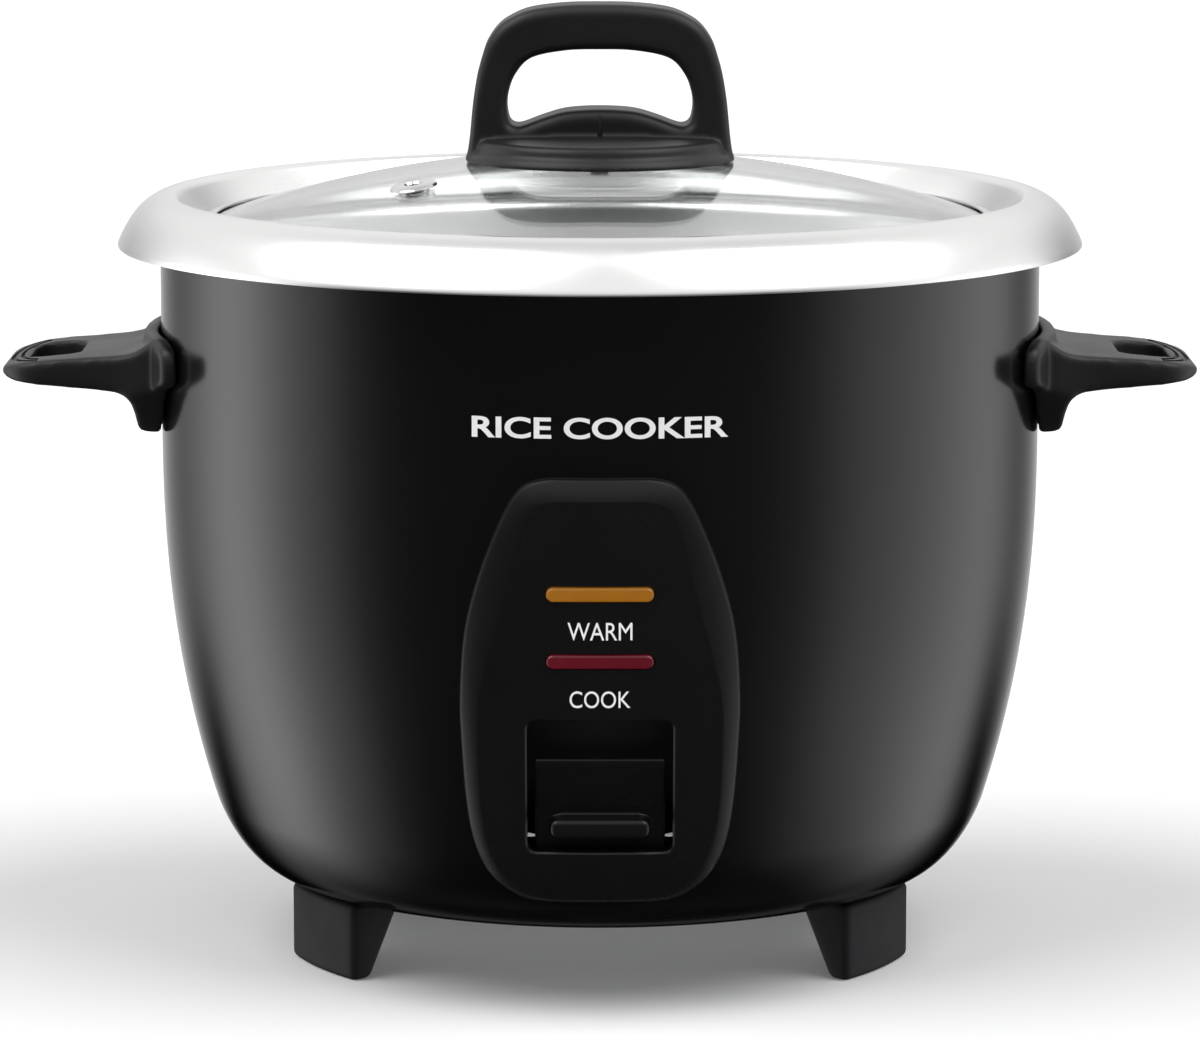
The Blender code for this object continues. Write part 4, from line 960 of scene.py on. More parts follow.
@dataclass
class Shell:
    """Enamelled drum, drawn in towards its bottom."""

    sheet: float = 0.8
    hem: float = 4.0
    top_hem: float = 5.2
    top_corner: float = 1.8
    taper_height: float = 123.5
    taper_drop: float = 13.9
    taper_power: float = 2.3
    corner_height: float = 21.5
    corner_depth: float = 20.7
    corner_low_pull: Point = (-9.6, 0.3)
    corner_high_pull: Point = (-2.2, -7.0)
    corner_steps: int = 14
    taper_steps: int = 26
    former_step: float = 2.5
    lens_room: float = 1.2
    lever_room: float = 2.0
    lever_rise: float = 11.0
    inlet_half: float = 14.7
    inlet_tall: float = 10.2
    screw_room: float = 2.1
    cutter_reach: float = 6.0
    space: Space = field(default_factory=lambda: Space.of("outer_shell"))

    @property
    def bottom(self) -> float:
        """Height of the shell's underside."""
        return self.space.low.z

    @property
    def top(self) -> float:
        """Height of the shell's upper edge."""
        return self.space.high.z

    @property
    def radius(self) -> float:
        """Radius of the straight wall."""
        return self.space.high.x

    def outside(self) -> list[Point]:
        """Draw the shell's outside from the end of its corner underneath to the straight wall.

        Returns:
            Points as (radius, height).
        """
        foot = self.radius - self.taper_drop
        corner_top = self.bottom + self.corner_height
        points = bezier(
            (
                (foot - self.corner_depth, self.bottom),
                (foot + self.corner_low_pull[0], self.bottom + self.corner_low_pull[1]),
                (foot + self.corner_high_pull[0], corner_top + self.corner_high_pull[1]),
                (foot, corner_top),
            ),
            self.corner_steps,
        )
        for step in range(1, self.taper_steps + 1):
            share = 1 - step / self.taper_steps
            height = corner_top + (1 - share) * (self.taper_height - self.corner_height)
            points.append((self.radius - self.taper_drop * share**self.taper_power, height))
        return points

    def radius_at(self, height: float) -> float:
        """Measure the shell's outside.

        Args:
            height: Height above the floor.

        Returns:
            Its radius there.
        """
        line = self.outside()
        for (r1, z1), (r2, z2) in zip(line, line[1:]):
            if z1 <= height < z2:
                return r1 + (r2 - r1) * (height - z1) / (z2 - z1)
        return self.radius if height > self.bottom else line[0][0]

    def front(self, height: float, lift: float) -> float:
        """Return Y of the point this far outside the shell on its front centre line."""
        return -(self.radius_at(height) + lift)

    def former(self, lift: float, low: float, high: float) -> bpy.types.Object:
        """Turn a surface that others are pressed onto.

        Args:
            lift: How far it stands outside the shell.
            low: Height of its lower edge.
            high: Height of its upper edge.

        Returns:
            The open surface.
        """
        steps = max(int((high - low) / self.former_step), 4)
        heights = [low + (high - low) * i / steps for i in range(steps + 1)]
        line = [(self.radius_at(height) + lift, height) for height in heights]
        return turned("former", line, FORMER_ROUND, closed=False)

    def press(self, piece: bpy.types.Object, lift: float, group: str = "") -> None:
        """Push a piece, or a group of its points, back onto the shell.

        Args:
            piece: Piece that stands in front of the shell.
            lift: How far outside the shell it ends.
            group: Vertex group, or nothing for the whole piece.
        """
        heights = [vert.co.z / MM for vert in piece.data.vertices]
        former = self.former(lift, min(heights) - 4, max(heights) + 4)
        modify(
            piece, "SHRINKWRAP", wrap_method="PROJECT", use_project_y=True, use_positive_direction=True,
            use_negative_direction=False, target=former, vertex_group=group,
        )
        drop(former)

    def plate(self, name: str, layers: Sequence[tuple[float, Rows]], columns: int) -> bpy.types.Object:
        """Make a plate that lies on the shell's front, as layers of a grid extruded one from the next.

        Args:
            name: Name of the piece.
            layers: Lift of each layer and its rows of (height, half width), from the back to the front.
            columns: Number of spans across each row.

        Returns:
            The closed plate.
        """
        clear_selection()
        count = len(layers[0][1])
        bpy.ops.mesh.primitive_grid_add(
            x_subdivisions=columns, y_subdivisions=count - 1, size=2 * MM, location=(0, AHEAD * MM, 0),
            rotation=(math.radians(90), 0, 0),
        )
        piece = newest(name)
        depths = []
        with editing(piece):
            bpy.ops.mesh.select_all(action="SELECT")
            for level, (_, rows) in enumerate(layers):
                if level:
                    bpy.ops.mesh.extrude_region_move(TRANSFORM_OT_translate={"value": (0, -MM, 0)})
                verts = bmesh.from_edit_mesh(piece.data).verts
                verts.ensure_lookup_table()
                layer = sorted(chosen(piece), key=lambda i: verts[i].co.z)
                depths.append(AHEAD * MM - level * MM)
                across = len(layer) // count
                for number, (height, half) in enumerate(rows):
                    row = layer[number * across : (number + 1) * across]
                    verts = bmesh.from_edit_mesh(piece.data).verts
                    verts.ensure_lookup_table()
                    middle = verts[row[0]].co.copy()
                    wide = max(abs(verts[i].co.x) for i in row)
                    choose(piece, row)
                    bpy.ops.transform.resize(
                        value=(half * MM / wide, 1, 1), center_override=(0, middle.y, middle.z)
                    )
                    bpy.ops.transform.translate(value=(0, 0, height * MM - middle.z))
                choose(piece, layer)
        for level, depth in enumerate(depths):
            group = piece.vertex_groups.new(name=f"layer_{level}")
            near = [v.index for v in piece.data.vertices if abs(v.co.y - depth) < 0.3 * MM]
            group.add(near, 1.0, "REPLACE")
        for level, (lift, _) in enumerate(layers):
            self.press(piece, lift, f"layer_{level}")
        piece.vertex_groups.clear()
        return close_up(piece)

    def build(self) -> None:
        """Make the shell with its hems and cut-outs."""
        line = self.outside()
        outline = [(line[0][0] - self.hem, self.bottom), *line]
        corner = (self.radius - self.top_corner, self.top - self.top_corner)
        outline += arc(corner, self.top_corner, 0, 90, 5)
        outline.append((self.radius - self.top_hem, self.top))
        shell = turned("shell_drum", walled(outline, self.sheet))
        far, near = self.radius + self.cutter_reach, self.radius * 0.7
        lever = Space.of("cook_lever")
        half = lever.high.x + self.lever_room
        combine(shell, rounded_block("tool", (-half, -far, lever.low.z - self.lever_room),
                                     (half, -near, lever.high.z + self.lever_rise + self.lever_room)))
        for lens in ("warm_lens", "cook_lens"):
            place = Space.of(lens)
            combine(shell, rounded_block(
                "tool",
                (place.low.x - self.lens_room, -far, place.low.z - self.lens_room),
                (place.high.x + self.lens_room, -near, place.high.z + self.lens_room),
            ))
        inlet = Space.of("inlet_socket").middle.z
        combine(shell, rounded_block("tool", (-self.inlet_half, near, inlet - self.inlet_tall),
                                     (self.inlet_half, far, inlet + self.inlet_tall)))
        for name in PANEL_SCREWS:
            spot = Space.of(f"panel_screw_{name}").middle
            combine(shell, peg("tool", self.screw_room, (spot.x, -far, spot.z), (spot.x, -near, spot.z)))
        for side, sign in zip(SIDES, (-1, 1)):
            for end in ENDS:
                spot = Space.of(f"handle_screw_{side}_{end}").middle
                combine(shell, peg(
                    "tool", self.screw_room, (sign * near, spot.y, spot.z), (sign * far, spot.y, spot.z)
                ))
        hand_over(shell, ENAMEL, Role("base", "enamel", ("outer_shell",)))


@dataclass
class Pot:
    """Stainless pot with a wide rolled lip and a ledge for the lid."""

    sheet: float = 1.0
    lip_to_bowl: float = 29.6
    ledge_below_crest: float = 11.5
    recess_to_bowl: float = 9.2
    lip_drop: float = 2.3
    crest_inset: float = 13.4
    corner: float = 14.0
    wall_rings: Point = (40.0, 80.0)
    floor_rings: Spot = (0.55, 0.25, 0.0)
    space: Space = field(default_factory=lambda: Space.of("inner_pot"))

    def build(self) -> None:
        """Turn the pot."""
        lip, crest = self.space.high.x, self.space.high.z
        floor = self.space.low.z + self.sheet
        bowl = lip - self.lip_to_bowl
        ledge = crest - self.ledge_below_crest
        recess = bowl + self.recess_to_bowl
        foot = ledge - self.lip_drop
        # Three curves, each by its control points: over the lip, down to the recess, and off the ledge.
        over = ((lip, foot + 0.6), (lip - 5.0, crest - 0.9), (lip - self.crest_inset, crest))
        path = [(lip, foot), *bezier(over, 20)]
        path += bezier(((lip - 14.6, crest), (lip - 16.2, crest - 0.2), (lip - 17.0, crest - 1.8)), 5)[1:]
        path += bezier(((recess + 0.9, ledge + 3.0), (recess, ledge + 0.2), (recess - 2.6, ledge)), 6)
        path += bezier(((bowl + 3.2, ledge), (bowl + 0.4, ledge - 0.2), (bowl, ledge - 3.0)), 6)
        path += [(bowl, ledge - down) for down in self.wall_rings]
        path += arc((bowl - self.corner, floor + self.corner), self.corner, 0, -90, 12)
        path += [(bowl * share, floor) for share in self.floor_rings]
        pot = turned("stainless_pot", walled(path, self.sheet))
        hand_over(pot, SATIN_STEEL, Role("pot", "stainless", ("inner_pot",)))


@dataclass
class Lid:
    """Domed glass lid with a thin steel rim and a steam vent."""

    sphere: float = 335.0
    sheet: float = 2.8
    hole: float = 3.5
    gap: float = 0.4
    rings: int = 24
    rim_sheet: float = 0.5
    rim_width: float = 5.1
    rim_wall: float = 0.55
    vent_room: float = 0.3
    vent_lip: float = 0.8
    vent_radius: float = 6.5
    vent_neck: float = 3.7
    vent_bore: float = 2.0
    glass: Space = field(default_factory=lambda: Space.of("lid_glass"))
    rim: Space = field(default_factory=lambda: Space.of("lid_rim"))
    vent: Space = field(default_factory=lambda: Space.of("vent_grommet"))

    def height(self, radius: float) -> float:
        """Measure the glass's outside.

        Args:
            radius: Distance from the axis.

        Returns:
            Its height there.
        """
        drop = self.sphere - math.sqrt(self.sphere**2 - radius**2)
        return self.glass.high.z + self.hole**2 / (2 * self.sphere) - drop

    def build(self) -> None:
        """Make the glass, its rim and the vent's grommet."""
        edge = self.glass.high.x
        radii = [edge + (self.hole - edge) * i / self.rings for i in range(self.rings + 1)]
        glass = turned("domed_glass", walled([(r, self.height(r)) for r in radii], self.sheet))
        centre = self.vent.middle
        around = math.hypot(centre.x, centre.y)
        top = Vector((centre.x, centre.y, self.height(around)))
        normal = Vector((centre.x, centre.y, math.sqrt(self.sphere**2 - around**2))).normalized()
        combine(glass, peg("tool", self.vent_neck + self.vent_room, top - normal * 8, top + normal * 5))
        hand_over(glass, CLEAR_GLASS, Role("lid", "lid_glass", ("lid_glass",)))
        outer, low = self.rim.high.x, self.rim.low.z
        cover, inner, sheet = outer - self.rim_width, outer - self.rim_wall, self.rim_sheet
        high = self.height(cover) + self.gap
        section = [(cover, low), (outer - 0.8, low), (outer - 0.2, low + 0.3), (outer, low + 0.9),
                   (outer, high - 1.6), (outer - 0.4, high - 0.7), (outer - 1.2, high - 0.1),
                   (cover + 1.0, high + sheet), (cover, high + sheet), (cover, high), (outer - 1.5, high - 0.9),
                   (inner, high - 1.9), (inner, low + sheet), (cover, low + sheet)]
        hand_over(turned("lid_band", section), BRIGHT_STEEL, Role("lid", "stainless", ("lid_rim",)))
        under = -self.sheet - 2 * self.gap
        end = under - self.vent_lip
        wide, neck, bore = self.vent_radius, self.vent_neck, self.vent_bore
        section = [(bore, 0.9), (bore + 0.5, 1.5), (wide - 2.2, 1.7), (wide - 0.7, 1.3), (wide, 0.7), (wide, self.gap),
                   (neck, self.gap), (neck, under), (wide - 1.0, under), (wide - 1.0, end), (bore, end)]
        grommet = turned("vent_eyelet", section, SMALL_ROUND)
        grommet.rotation_euler = normal.to_track_quat("Z", "Y").to_euler()
        grommet.location = top * MM
        settle(grommet)
        hand_over(grommet, BRIGHT_STEEL, Role("lid", "stainless", ("vent_grommet",)))


@dataclass
class LidHandle:
    """Arched handle on a stepped round foot."""

    depth: float = 19.0
    rounding: float = 3.0
    grain: float = 0.55
    foot_edge: tuple[Point, ...] = (
        (0.0, -1.5), (-0.1, -0.8), (-0.7, 0.3), (-1.5, 1.0), (-2.1, 1.3), (-2.3, 1.9), (-2.4, 3.0), (-2.9, 4.0),
        (-4.2, 4.6), (-12.0, 5.0), (-22.0, 5.3),
    )
    foot_top: float = 5.5
    groove: float = 0.7
    groove_span: Point = (5.6, 12.2)
    groove_out: float = 0.25
    screw_hole: float = 2.1
    screw_span: Point = (-4.0, 9.0)
    arch: tuple[Point, ...] = (
        (37.1, -1.3), (36.7, -0.2), (36.2, 2.2), (35.7, 6.0), (35.3, 10.2), (34.7, 15.9), (33.6, 22.5), (32.4, 26.9),
        (30.9, 31.2), (28.0, 35.4), (24.4, 38.0), (18.9, 40.2), (9.5, 41.4),
    )
    opening: tuple[Point, ...] = (
        (9.0, 12.4), (15.5, 10.6), (20.0, 8.9), (22.6, 8.3), (24.7, 9.4), (25.5, 13.7), (24.9, 18.0),
        (23.2, 22.4), (18.9, 26.9), (9.5, 28.9),
    )
    space: Space = field(default_factory=lambda: Space.of("lid_knob"))
    lid: Lid = field(default_factory=Lid)

    def build(self) -> None:
        """Mould the handle in one piece."""
        apex = self.lid.height(0)
        reach = self.space.high.x
        under = [(r, self.lid.height(r) + self.lid.gap) for r in (0.0, reach * 0.33, reach * 0.66, reach - 0.5)]
        dome = [*((reach + r, apex + z) for r, z in self.foot_edge), (0.0, apex + self.foot_top)]
        foot = turned("foot_disc", [*under, *dome], 96)
        top = self.space.high.z
        arch = [(x, apex + z) for x, z in flowing([*self.arch, (0.0, top - apex)], 4)]
        arch += [(-x, z) for x, z in arch[-2::-1]]
        arch += [(-reach + 7.0, apex + 2.5), (reach - 7.0, apex + 2.5)]
        gap = flowing([*[(-x, z) for x, z in self.opening[::-1]], (0.0, 12.9), *self.opening, (0.0, 29.2)], 4, True)
        bow = cut_out("bow", (arch, [(x, apex + z) for x, z in gap]), (-self.depth / 2, self.depth / 2), Plane.FRONT,
                      self.rounding)
        handle = weld("lid_handle", (foot, bow), self.grain, 4)
        for side in (-1, 1):
            y = side * (self.depth / 2 + self.groove_out)
            low, high = (apex + z for z in self.groove_span)
            combine(handle, peg("tool", self.groove, (0, y, low), (0, y, high)))
        low, high = (apex + z for z in self.screw_span)
        combine(handle, peg("tool", self.screw_hole, (0, 0, low), (0, 0, high)))
        hand_over(handle, MOULDED, Role("lid", "black_plastic", ("lid_knob",)), 45)


@dataclass
class SideHandles:
    """Two moulded handles, each a slotted grip on a plate that hugs the shell."""

    shell: Shell
    gap: float = 0.7
    lift: float = 4.8
    grip_half: float = 26.5
    plate_half: float = 43.0
    flare: float = 6.0
    slot_half: float = 15.0
    slot_length: float = 14.0
    slot_from_tip: float = 7.6
    end_corner: float = 13.5
    groove: float = 0.85
    groove_insets: Point = (2.4, 5.0)
    groove_drop: float = 10.1
    groove_tilt: float = 11.0
    grain: float = 0.7
    rows: tuple[Point, ...] = (
        (-31.3, 13.0), (-30.6, 17.5), (-29.0, 21.5), (-25.5, 26.0), (-21.0, 29.0), (-18.0, 31.6), (-16.2, 36.6),
        (-14.8, 41.4), (-12.6, 43.0), (-7.0, 42.6), (-4.4, 40.0), (-2.8, 33.0),
    )
    side_view: tuple[Point, ...] = (
        (-9, -4.4), (-1, -4.2), (2.0, -4.8), (4.6, -6.6), (8.5, -8.0), (17, -8.8), (30.8, -9.8), (37.5, -10.9),
        (41.4, -11.9), (43.2, -13.2), (42.9, -14.6), (40.4, -15.8), (36, -16.4), (28.8, -17.0), (17, -17.9),
        (10.6, -18.6), (7.6, -20.2), (6.3, -23.4), (5.7, -27.5), (4.9, -30.4), (-1, -31.0), (-9, -31.0),
    )

    def build(self) -> None:
        """Mould the right handle and copy it for the left."""
        space = Space.of("handle_right")
        top, tip = space.high.z, space.high.x
        radius = self.shell.radius
        outline = [(min(radius + x, tip), top + z) for x, z in flowing(self.side_view, 4, True)]
        grip = cut_out("grip", [outline], (-self.plate_half, self.plate_half), Plane.FRONT)
        corner = arc((tip - self.end_corner, -self.grip_half + self.end_corner), self.end_corner, -84, 0, 10)
        wide = self.grip_half + self.flare
        flare = bezier(((radius - 1.5, -wide), (radius + 5.0, -wide + 1.0), (radius + 8.0, -self.grip_half - 2.0),
                        (radius + 19.0, -self.grip_half - 0.8)), 8)
        plan = [(radius - 14, -wide - 1), *flare, *corner]
        plan += [(x, -y) for x, y in plan[::-1]]
        combine(grip, cut_out("tool", [plan], (top - 60, top + 20), Plane.TOP), "INTERSECT")
        rows = [(top + z, half) for z, half in flowing(self.rows, 3)]
        face = [(half, z) for z, half in rows] + [(-half, z) for z, half in rows[::-1]]
        combine(grip, cut_out("tool", [face], (radius - 30, tip + 9), Plane.SIDE), "INTERSECT")
        grip = weld("grip", [grip], self.grain, 16)
        slot_end = tip - self.slot_from_tip
        slot = rounded_rectangle(
            (slot_end - self.slot_length, -self.slot_half), (slot_end, self.slot_half), self.slot_length / 2 - 0.8, 8
        )
        combine(grip, cut_out("tool", [slot], (top - 60, top + 20), Plane.TOP))
        plate = self.shell.plate(
            "mount", ((self.gap, rows), (self.lift - 1.6, rows), (self.lift - 0.5, shrunk(rows, 0.5)),
                      (self.lift, shrunk(rows, 1.6))), 28,
        )
        plate.rotation_euler.z = math.radians(90)
        settle(plate)
        room = radius + self.gap
        combine(grip, turned("tool", [(0.0, top - 60), (room, top - 60), (room, top + 20), (0.0, top + 20)],
                             FORMER_ROUND))
        handle = weld("side_handle_right", (grip, plate), self.grain, 7)
        for inset in self.groove_insets:
            clear_selection()
            round_end = self.end_corner - inset
            bpy.ops.mesh.primitive_torus_add(
                major_radius=round_end * MM, minor_radius=self.groove * MM, major_segments=96, minor_segments=10,
                location=((tip - self.end_corner) * MM, 0, (top - self.groove_drop) * MM),
                rotation=(0, math.radians(self.groove_tilt), 0),
            )
            bpy.context.object.scale = (1.0, (self.grip_half - inset) / round_end, 1.0)
            ring = newest("tool")
            combine(ring, rounded_block("tool", (tip - 11, -40, top - 30), (tip + 5, 40, top + 10)), "INTERSECT")
            combine(handle, ring)
        left = copied(handle, "side_handle_left", 180.0)
        hand_over(left, MOULDED, Role("base", "black_plastic", ("handle_left",)), 50)
        hand_over(handle, MOULDED, Role("base", "black_plastic", ("handle_right",)), 50)


@dataclass
class ControlPanel:
    """Raised panel with sloped sides, a window for the lever and two lenses."""

    shell: Shell
    gap: float = 0.7
    lift: float = 5.6
    edge_lift: float = 3.4
    columns: int = 28
    window_columns: int = 14
    window_low: float = 26.0
    window_high: float = 62.5
    window_half: float = 19.0
    window_corner: float = 2.4
    lens_gap: float = 0.3
    lens_rounding: float = 0.7
    chamfer: float = 0.9
    outline: tuple[Point, ...] = (
        (0.0, 14.0), (1.5, 21.0), (7.0, 28.2), (15.5, 32.6), (27.5, 34.9), (45.5, 36.2), (57.5, 36.5), (74.8, 35.2),
        (89.6, 31.5), (102.6, 26.6), (110.4, 22.6), (114.0, 18.6), (115.3, 13.0),
    )
    face: tuple[Point, ...] = (
        (2.2, 12.0), (3.8, 18.8), (8.6, 25.2), (16.6, 29.2), (28.5, 31.2), (46.0, 31.9), (57.0, 31.6), (71.0, 28.6),
        (84.5, 25.0), (96.5, 22.2), (103.5, 20.2), (108.2, 17.0), (109.6, 11.6),
    )

    def build(self) -> None:
        """Make the panel and its lenses."""
        space = Space.of("control_panel")
        edge = [(space.low.z + z, half) for z, half in flowing(self.outline, 4)]
        face = [(space.low.z + z, half) for z, half in flowing(self.face, 4)]
        # From the back edge over the rounded rim and the sloped side to the crease and the sunk face.
        layers = ((self.gap, edge), (self.edge_lift, edge), (4.3, shrunk(edge, 0.3)), (4.75, shrunk(edge, 1.0)),
                  (self.lift - 0.2, shrunk(face, -0.9)), (self.lift - 0.04, shrunk(face, -0.15)),
                  (self.lift, shrunk(face, 0.1)), (self.lift - 0.1, shrunk(face, 0.7)),
                  (self.lift - 0.12, shrunk(face, 1.8)))
        panel = self.shell.plate("panel_cover", layers, self.columns)
        low, high = self.shell.bottom + self.window_low, self.shell.bottom + self.window_high
        window = rounded_rows(low, high, self.window_half, self.window_corner)
        wide = shrunk(window, -self.chamfer)
        start = self.lift - 0.6
        cuts = ((-6.0, window), (start, window), (start + self.chamfer, wide), (9.0, wide))
        combine(panel, self.shell.plate("tool", cuts, self.window_columns))
        # The lenses' finishes glow, which is painted light in the plastic.
        for name, finish, slot in (("warm_lens", AMBER, "amber_lens"), ("cook_lens", RED, "red_lens")):
            place = Space.of(name)
            middle, tall = place.middle.z, (place.high.z - place.low.z) / 2
            far = place.high.x
            hole = self.bar(middle, far + self.lens_gap, tall + self.lens_gap)
            combine(panel, cut_out("tool", [hole], (place.low.y - 8, place.high.y + 8), Plane.FRONT))
            lens = cut_out(name + "_bar", [self.bar(middle, far, tall)], (place.low.y, place.high.y), Plane.FRONT,
                           self.lens_rounding)
            hand_over(lens, finish, Role("base", slot, (name,)), 40)
        hand_over(panel, PANEL_PLASTIC, Role("base", "black_plastic", ("control_panel",)), 28)

    @staticmethod
    def bar(height: float, half: float, tall: float) -> list[Point]:
        """Draw a lens, a bar with round ends.

        Args:
            height: Height of its middle.
            half: Half its length.
            tall: Half its height.

        Returns:
            Its outline.
        """
        right = arc((half - tall, height), tall, -90, 90, 10)
        return right + [(-x, 2 * height - z) for x, z in right]


@dataclass
class CookLever:
    """Scooped paddle with a ledge to press."""

    shell: Shell
    half: float = 17.0
    sheet: float = 2.0
    ledge_half: float = 13.0
    ledge_span: Point = (30.2, 35.4)
    ledge_lift: float = 5.9
    ledge_depth: float = 8.4
    ledge_corner: float = 2.0
    stem_half: float = 8.6
    stem_tall: float = 2.8
    slit_half: float = 6.3
    slit_tall: float = 1.05
    tab_rise: float = 9.4
    grain: float = 0.4
    scoop: tuple[Point, ...] = (
        (51.5, 2.6), (49.5, 2.3), (46.5, 1.4), (41.0, 0.4), (35.5, -0.2), (28.0, 0.0), (19.2, -0.4),
    )

    def build(self) -> None:
        """Mould the paddle with its ledge and the socket for its arm."""
        space = Space.of("cook_lever")
        base = self.shell.bottom
        path = [(self.shell.front(base + z, lift), base + z) for z, lift in flowing(self.scoop, 4)]
        plate = cut_out("plate", [walled(path, self.sheet)], (-self.half, self.half), Plane.SIDE, 0.6)
        low, high = (base + z for z in self.ledge_span)
        face = self.shell.front((low + high) / 2, self.ledge_lift)
        bar = rounded_rectangle((-self.ledge_half, low), (self.ledge_half, high), self.ledge_corner)
        ledge = cut_out("ledge", [bar], (face, face + self.ledge_depth), Plane.FRONT, 1.5)
        arm = Space.of("lever_arm")
        height = arm.low.z + self.tab_rise
        front, back = arm.low.y, min(space.high.y, arm.low.y + 10.0)
        stem = rounded_block("stem", (-self.stem_half, front - 2.4, height - self.stem_tall),
                             (self.stem_half, back, height + self.stem_tall), 0.6)
        lever = weld("lever_paddle", (plate, ledge, stem), self.grain, 3)
        combine(lever, rounded_block("tool", (-self.slit_half, front - 0.3, height - self.slit_tall),
                                     (self.slit_half, back + 5, height + self.slit_tall)))
        hand_over(lever, PANEL_PLASTIC, Role("lever", "black_plastic", ("cook_lever",)), 40)


@dataclass
class Feet:
    """Four moulded feet, thin at the floor and thick under the shell."""

    outer: float = 89.5
    toe: float = 6.4
    root: float = 18.0
    root_height: float = 3.0
    half_angle: float = 11.9
    rounding: float = 2.4
    gap: float = 0.3
    boss_radius: float = 4.2
    boss_span: Point = (-2.0, 1.1)

    def build(self) -> None:
        """Mould one foot and copy it for the other three."""
        top = Space.of("outer_shell").low.z - self.gap
        outline = [(self.outer - self.toe, 0.0), (self.outer, 0.0), (self.outer, top), (self.outer - self.root, top),
                   (self.outer - self.root + 2.0, top - self.root_height)]
        foot = swept("foot", outline, self.half_angle, 12)
        modify(foot, "BEVEL", width=self.rounding * MM, segments=4, limit_method="ANGLE",
               angle_limit=math.radians(35))
        names = ("foot_front_right", "foot_rear_right", "foot_rear_left", "foot_front_left")
        screw = Space.of("foot_screw_front_right").middle
        low, high = ((math.hypot(screw.x, screw.y), 0, top + z) for z in self.boss_span)
        boss = peg("boss", self.boss_radius, low, high)
        combine(foot, boss, "UNION")
        for name in names:
            screw = Space.of(name.replace("foot_", "foot_screw_")).middle
            leg = copied(foot, "leg_" + name[5:], math.degrees(math.atan2(screw.y, screw.x)))
            hand_over(leg, RUBBERY, Role("base", "black_plastic", (name,)), 35)
        drop(foot)


@dataclass
class Inlet:
    """Power inlet at the back."""

    shell: Shell
    rounding: float = 1.2
    corner: float = 4.0
    lift: float = 0.7
    neck_half: float = 14.0
    neck_tall: float = 9.5
    mouth_half: float = 12.0
    mouth_tall: float = 7.5
    mouth_corner: float = 2.6
    mouth_depth: float = 14.0
    pin_room: float = 0.3

    def build(self) -> None:
        """Make the socket, which the pins stand in."""
        space = Space.of("inlet_socket")
        middle, back, start = space.middle.z, space.high.y, space.low.y
        outline = rounded_rectangle((space.low.x, space.low.z), (space.high.x, space.high.z), self.corner)
        socket = cut_out("inlet_housing", [outline], (back - 30, back), Plane.FRONT, self.rounding)
        line = [(r + self.lift, z) for r, z in self.shell.outside()]
        combine(socket, turned("tool", [(0.0, line[0][1]), *line, (0.0, line[-1][1])]))
        neck = rounded_block("neck", (-self.neck_half, start, middle - self.neck_tall),
                             (self.neck_half, back - 3, middle + self.neck_tall), 0.8)
        combine(socket, neck, "UNION")
        mouth = rounded_rectangle((-self.mouth_half, middle - self.mouth_tall),
                                  (self.mouth_half, middle + self.mouth_tall), self.mouth_corner)
        combine(socket, cut_out("tool", [mouth], (back - self.mouth_depth, back + 5), Plane.FRONT))
        for pin in PINS:
            place = Space.of(f"inlet_pin_{pin}")
            low = (place.low.x - self.pin_room, start - 5, place.low.z - self.pin_room)
            high = (place.high.x + self.pin_room, back - 5, place.high.z + self.pin_room)
            combine(socket, rounded_block("tool", low, high))
        hand_over(socket, MOULDED, Role("base", "black_plastic", ("inlet_socket",)), 35)


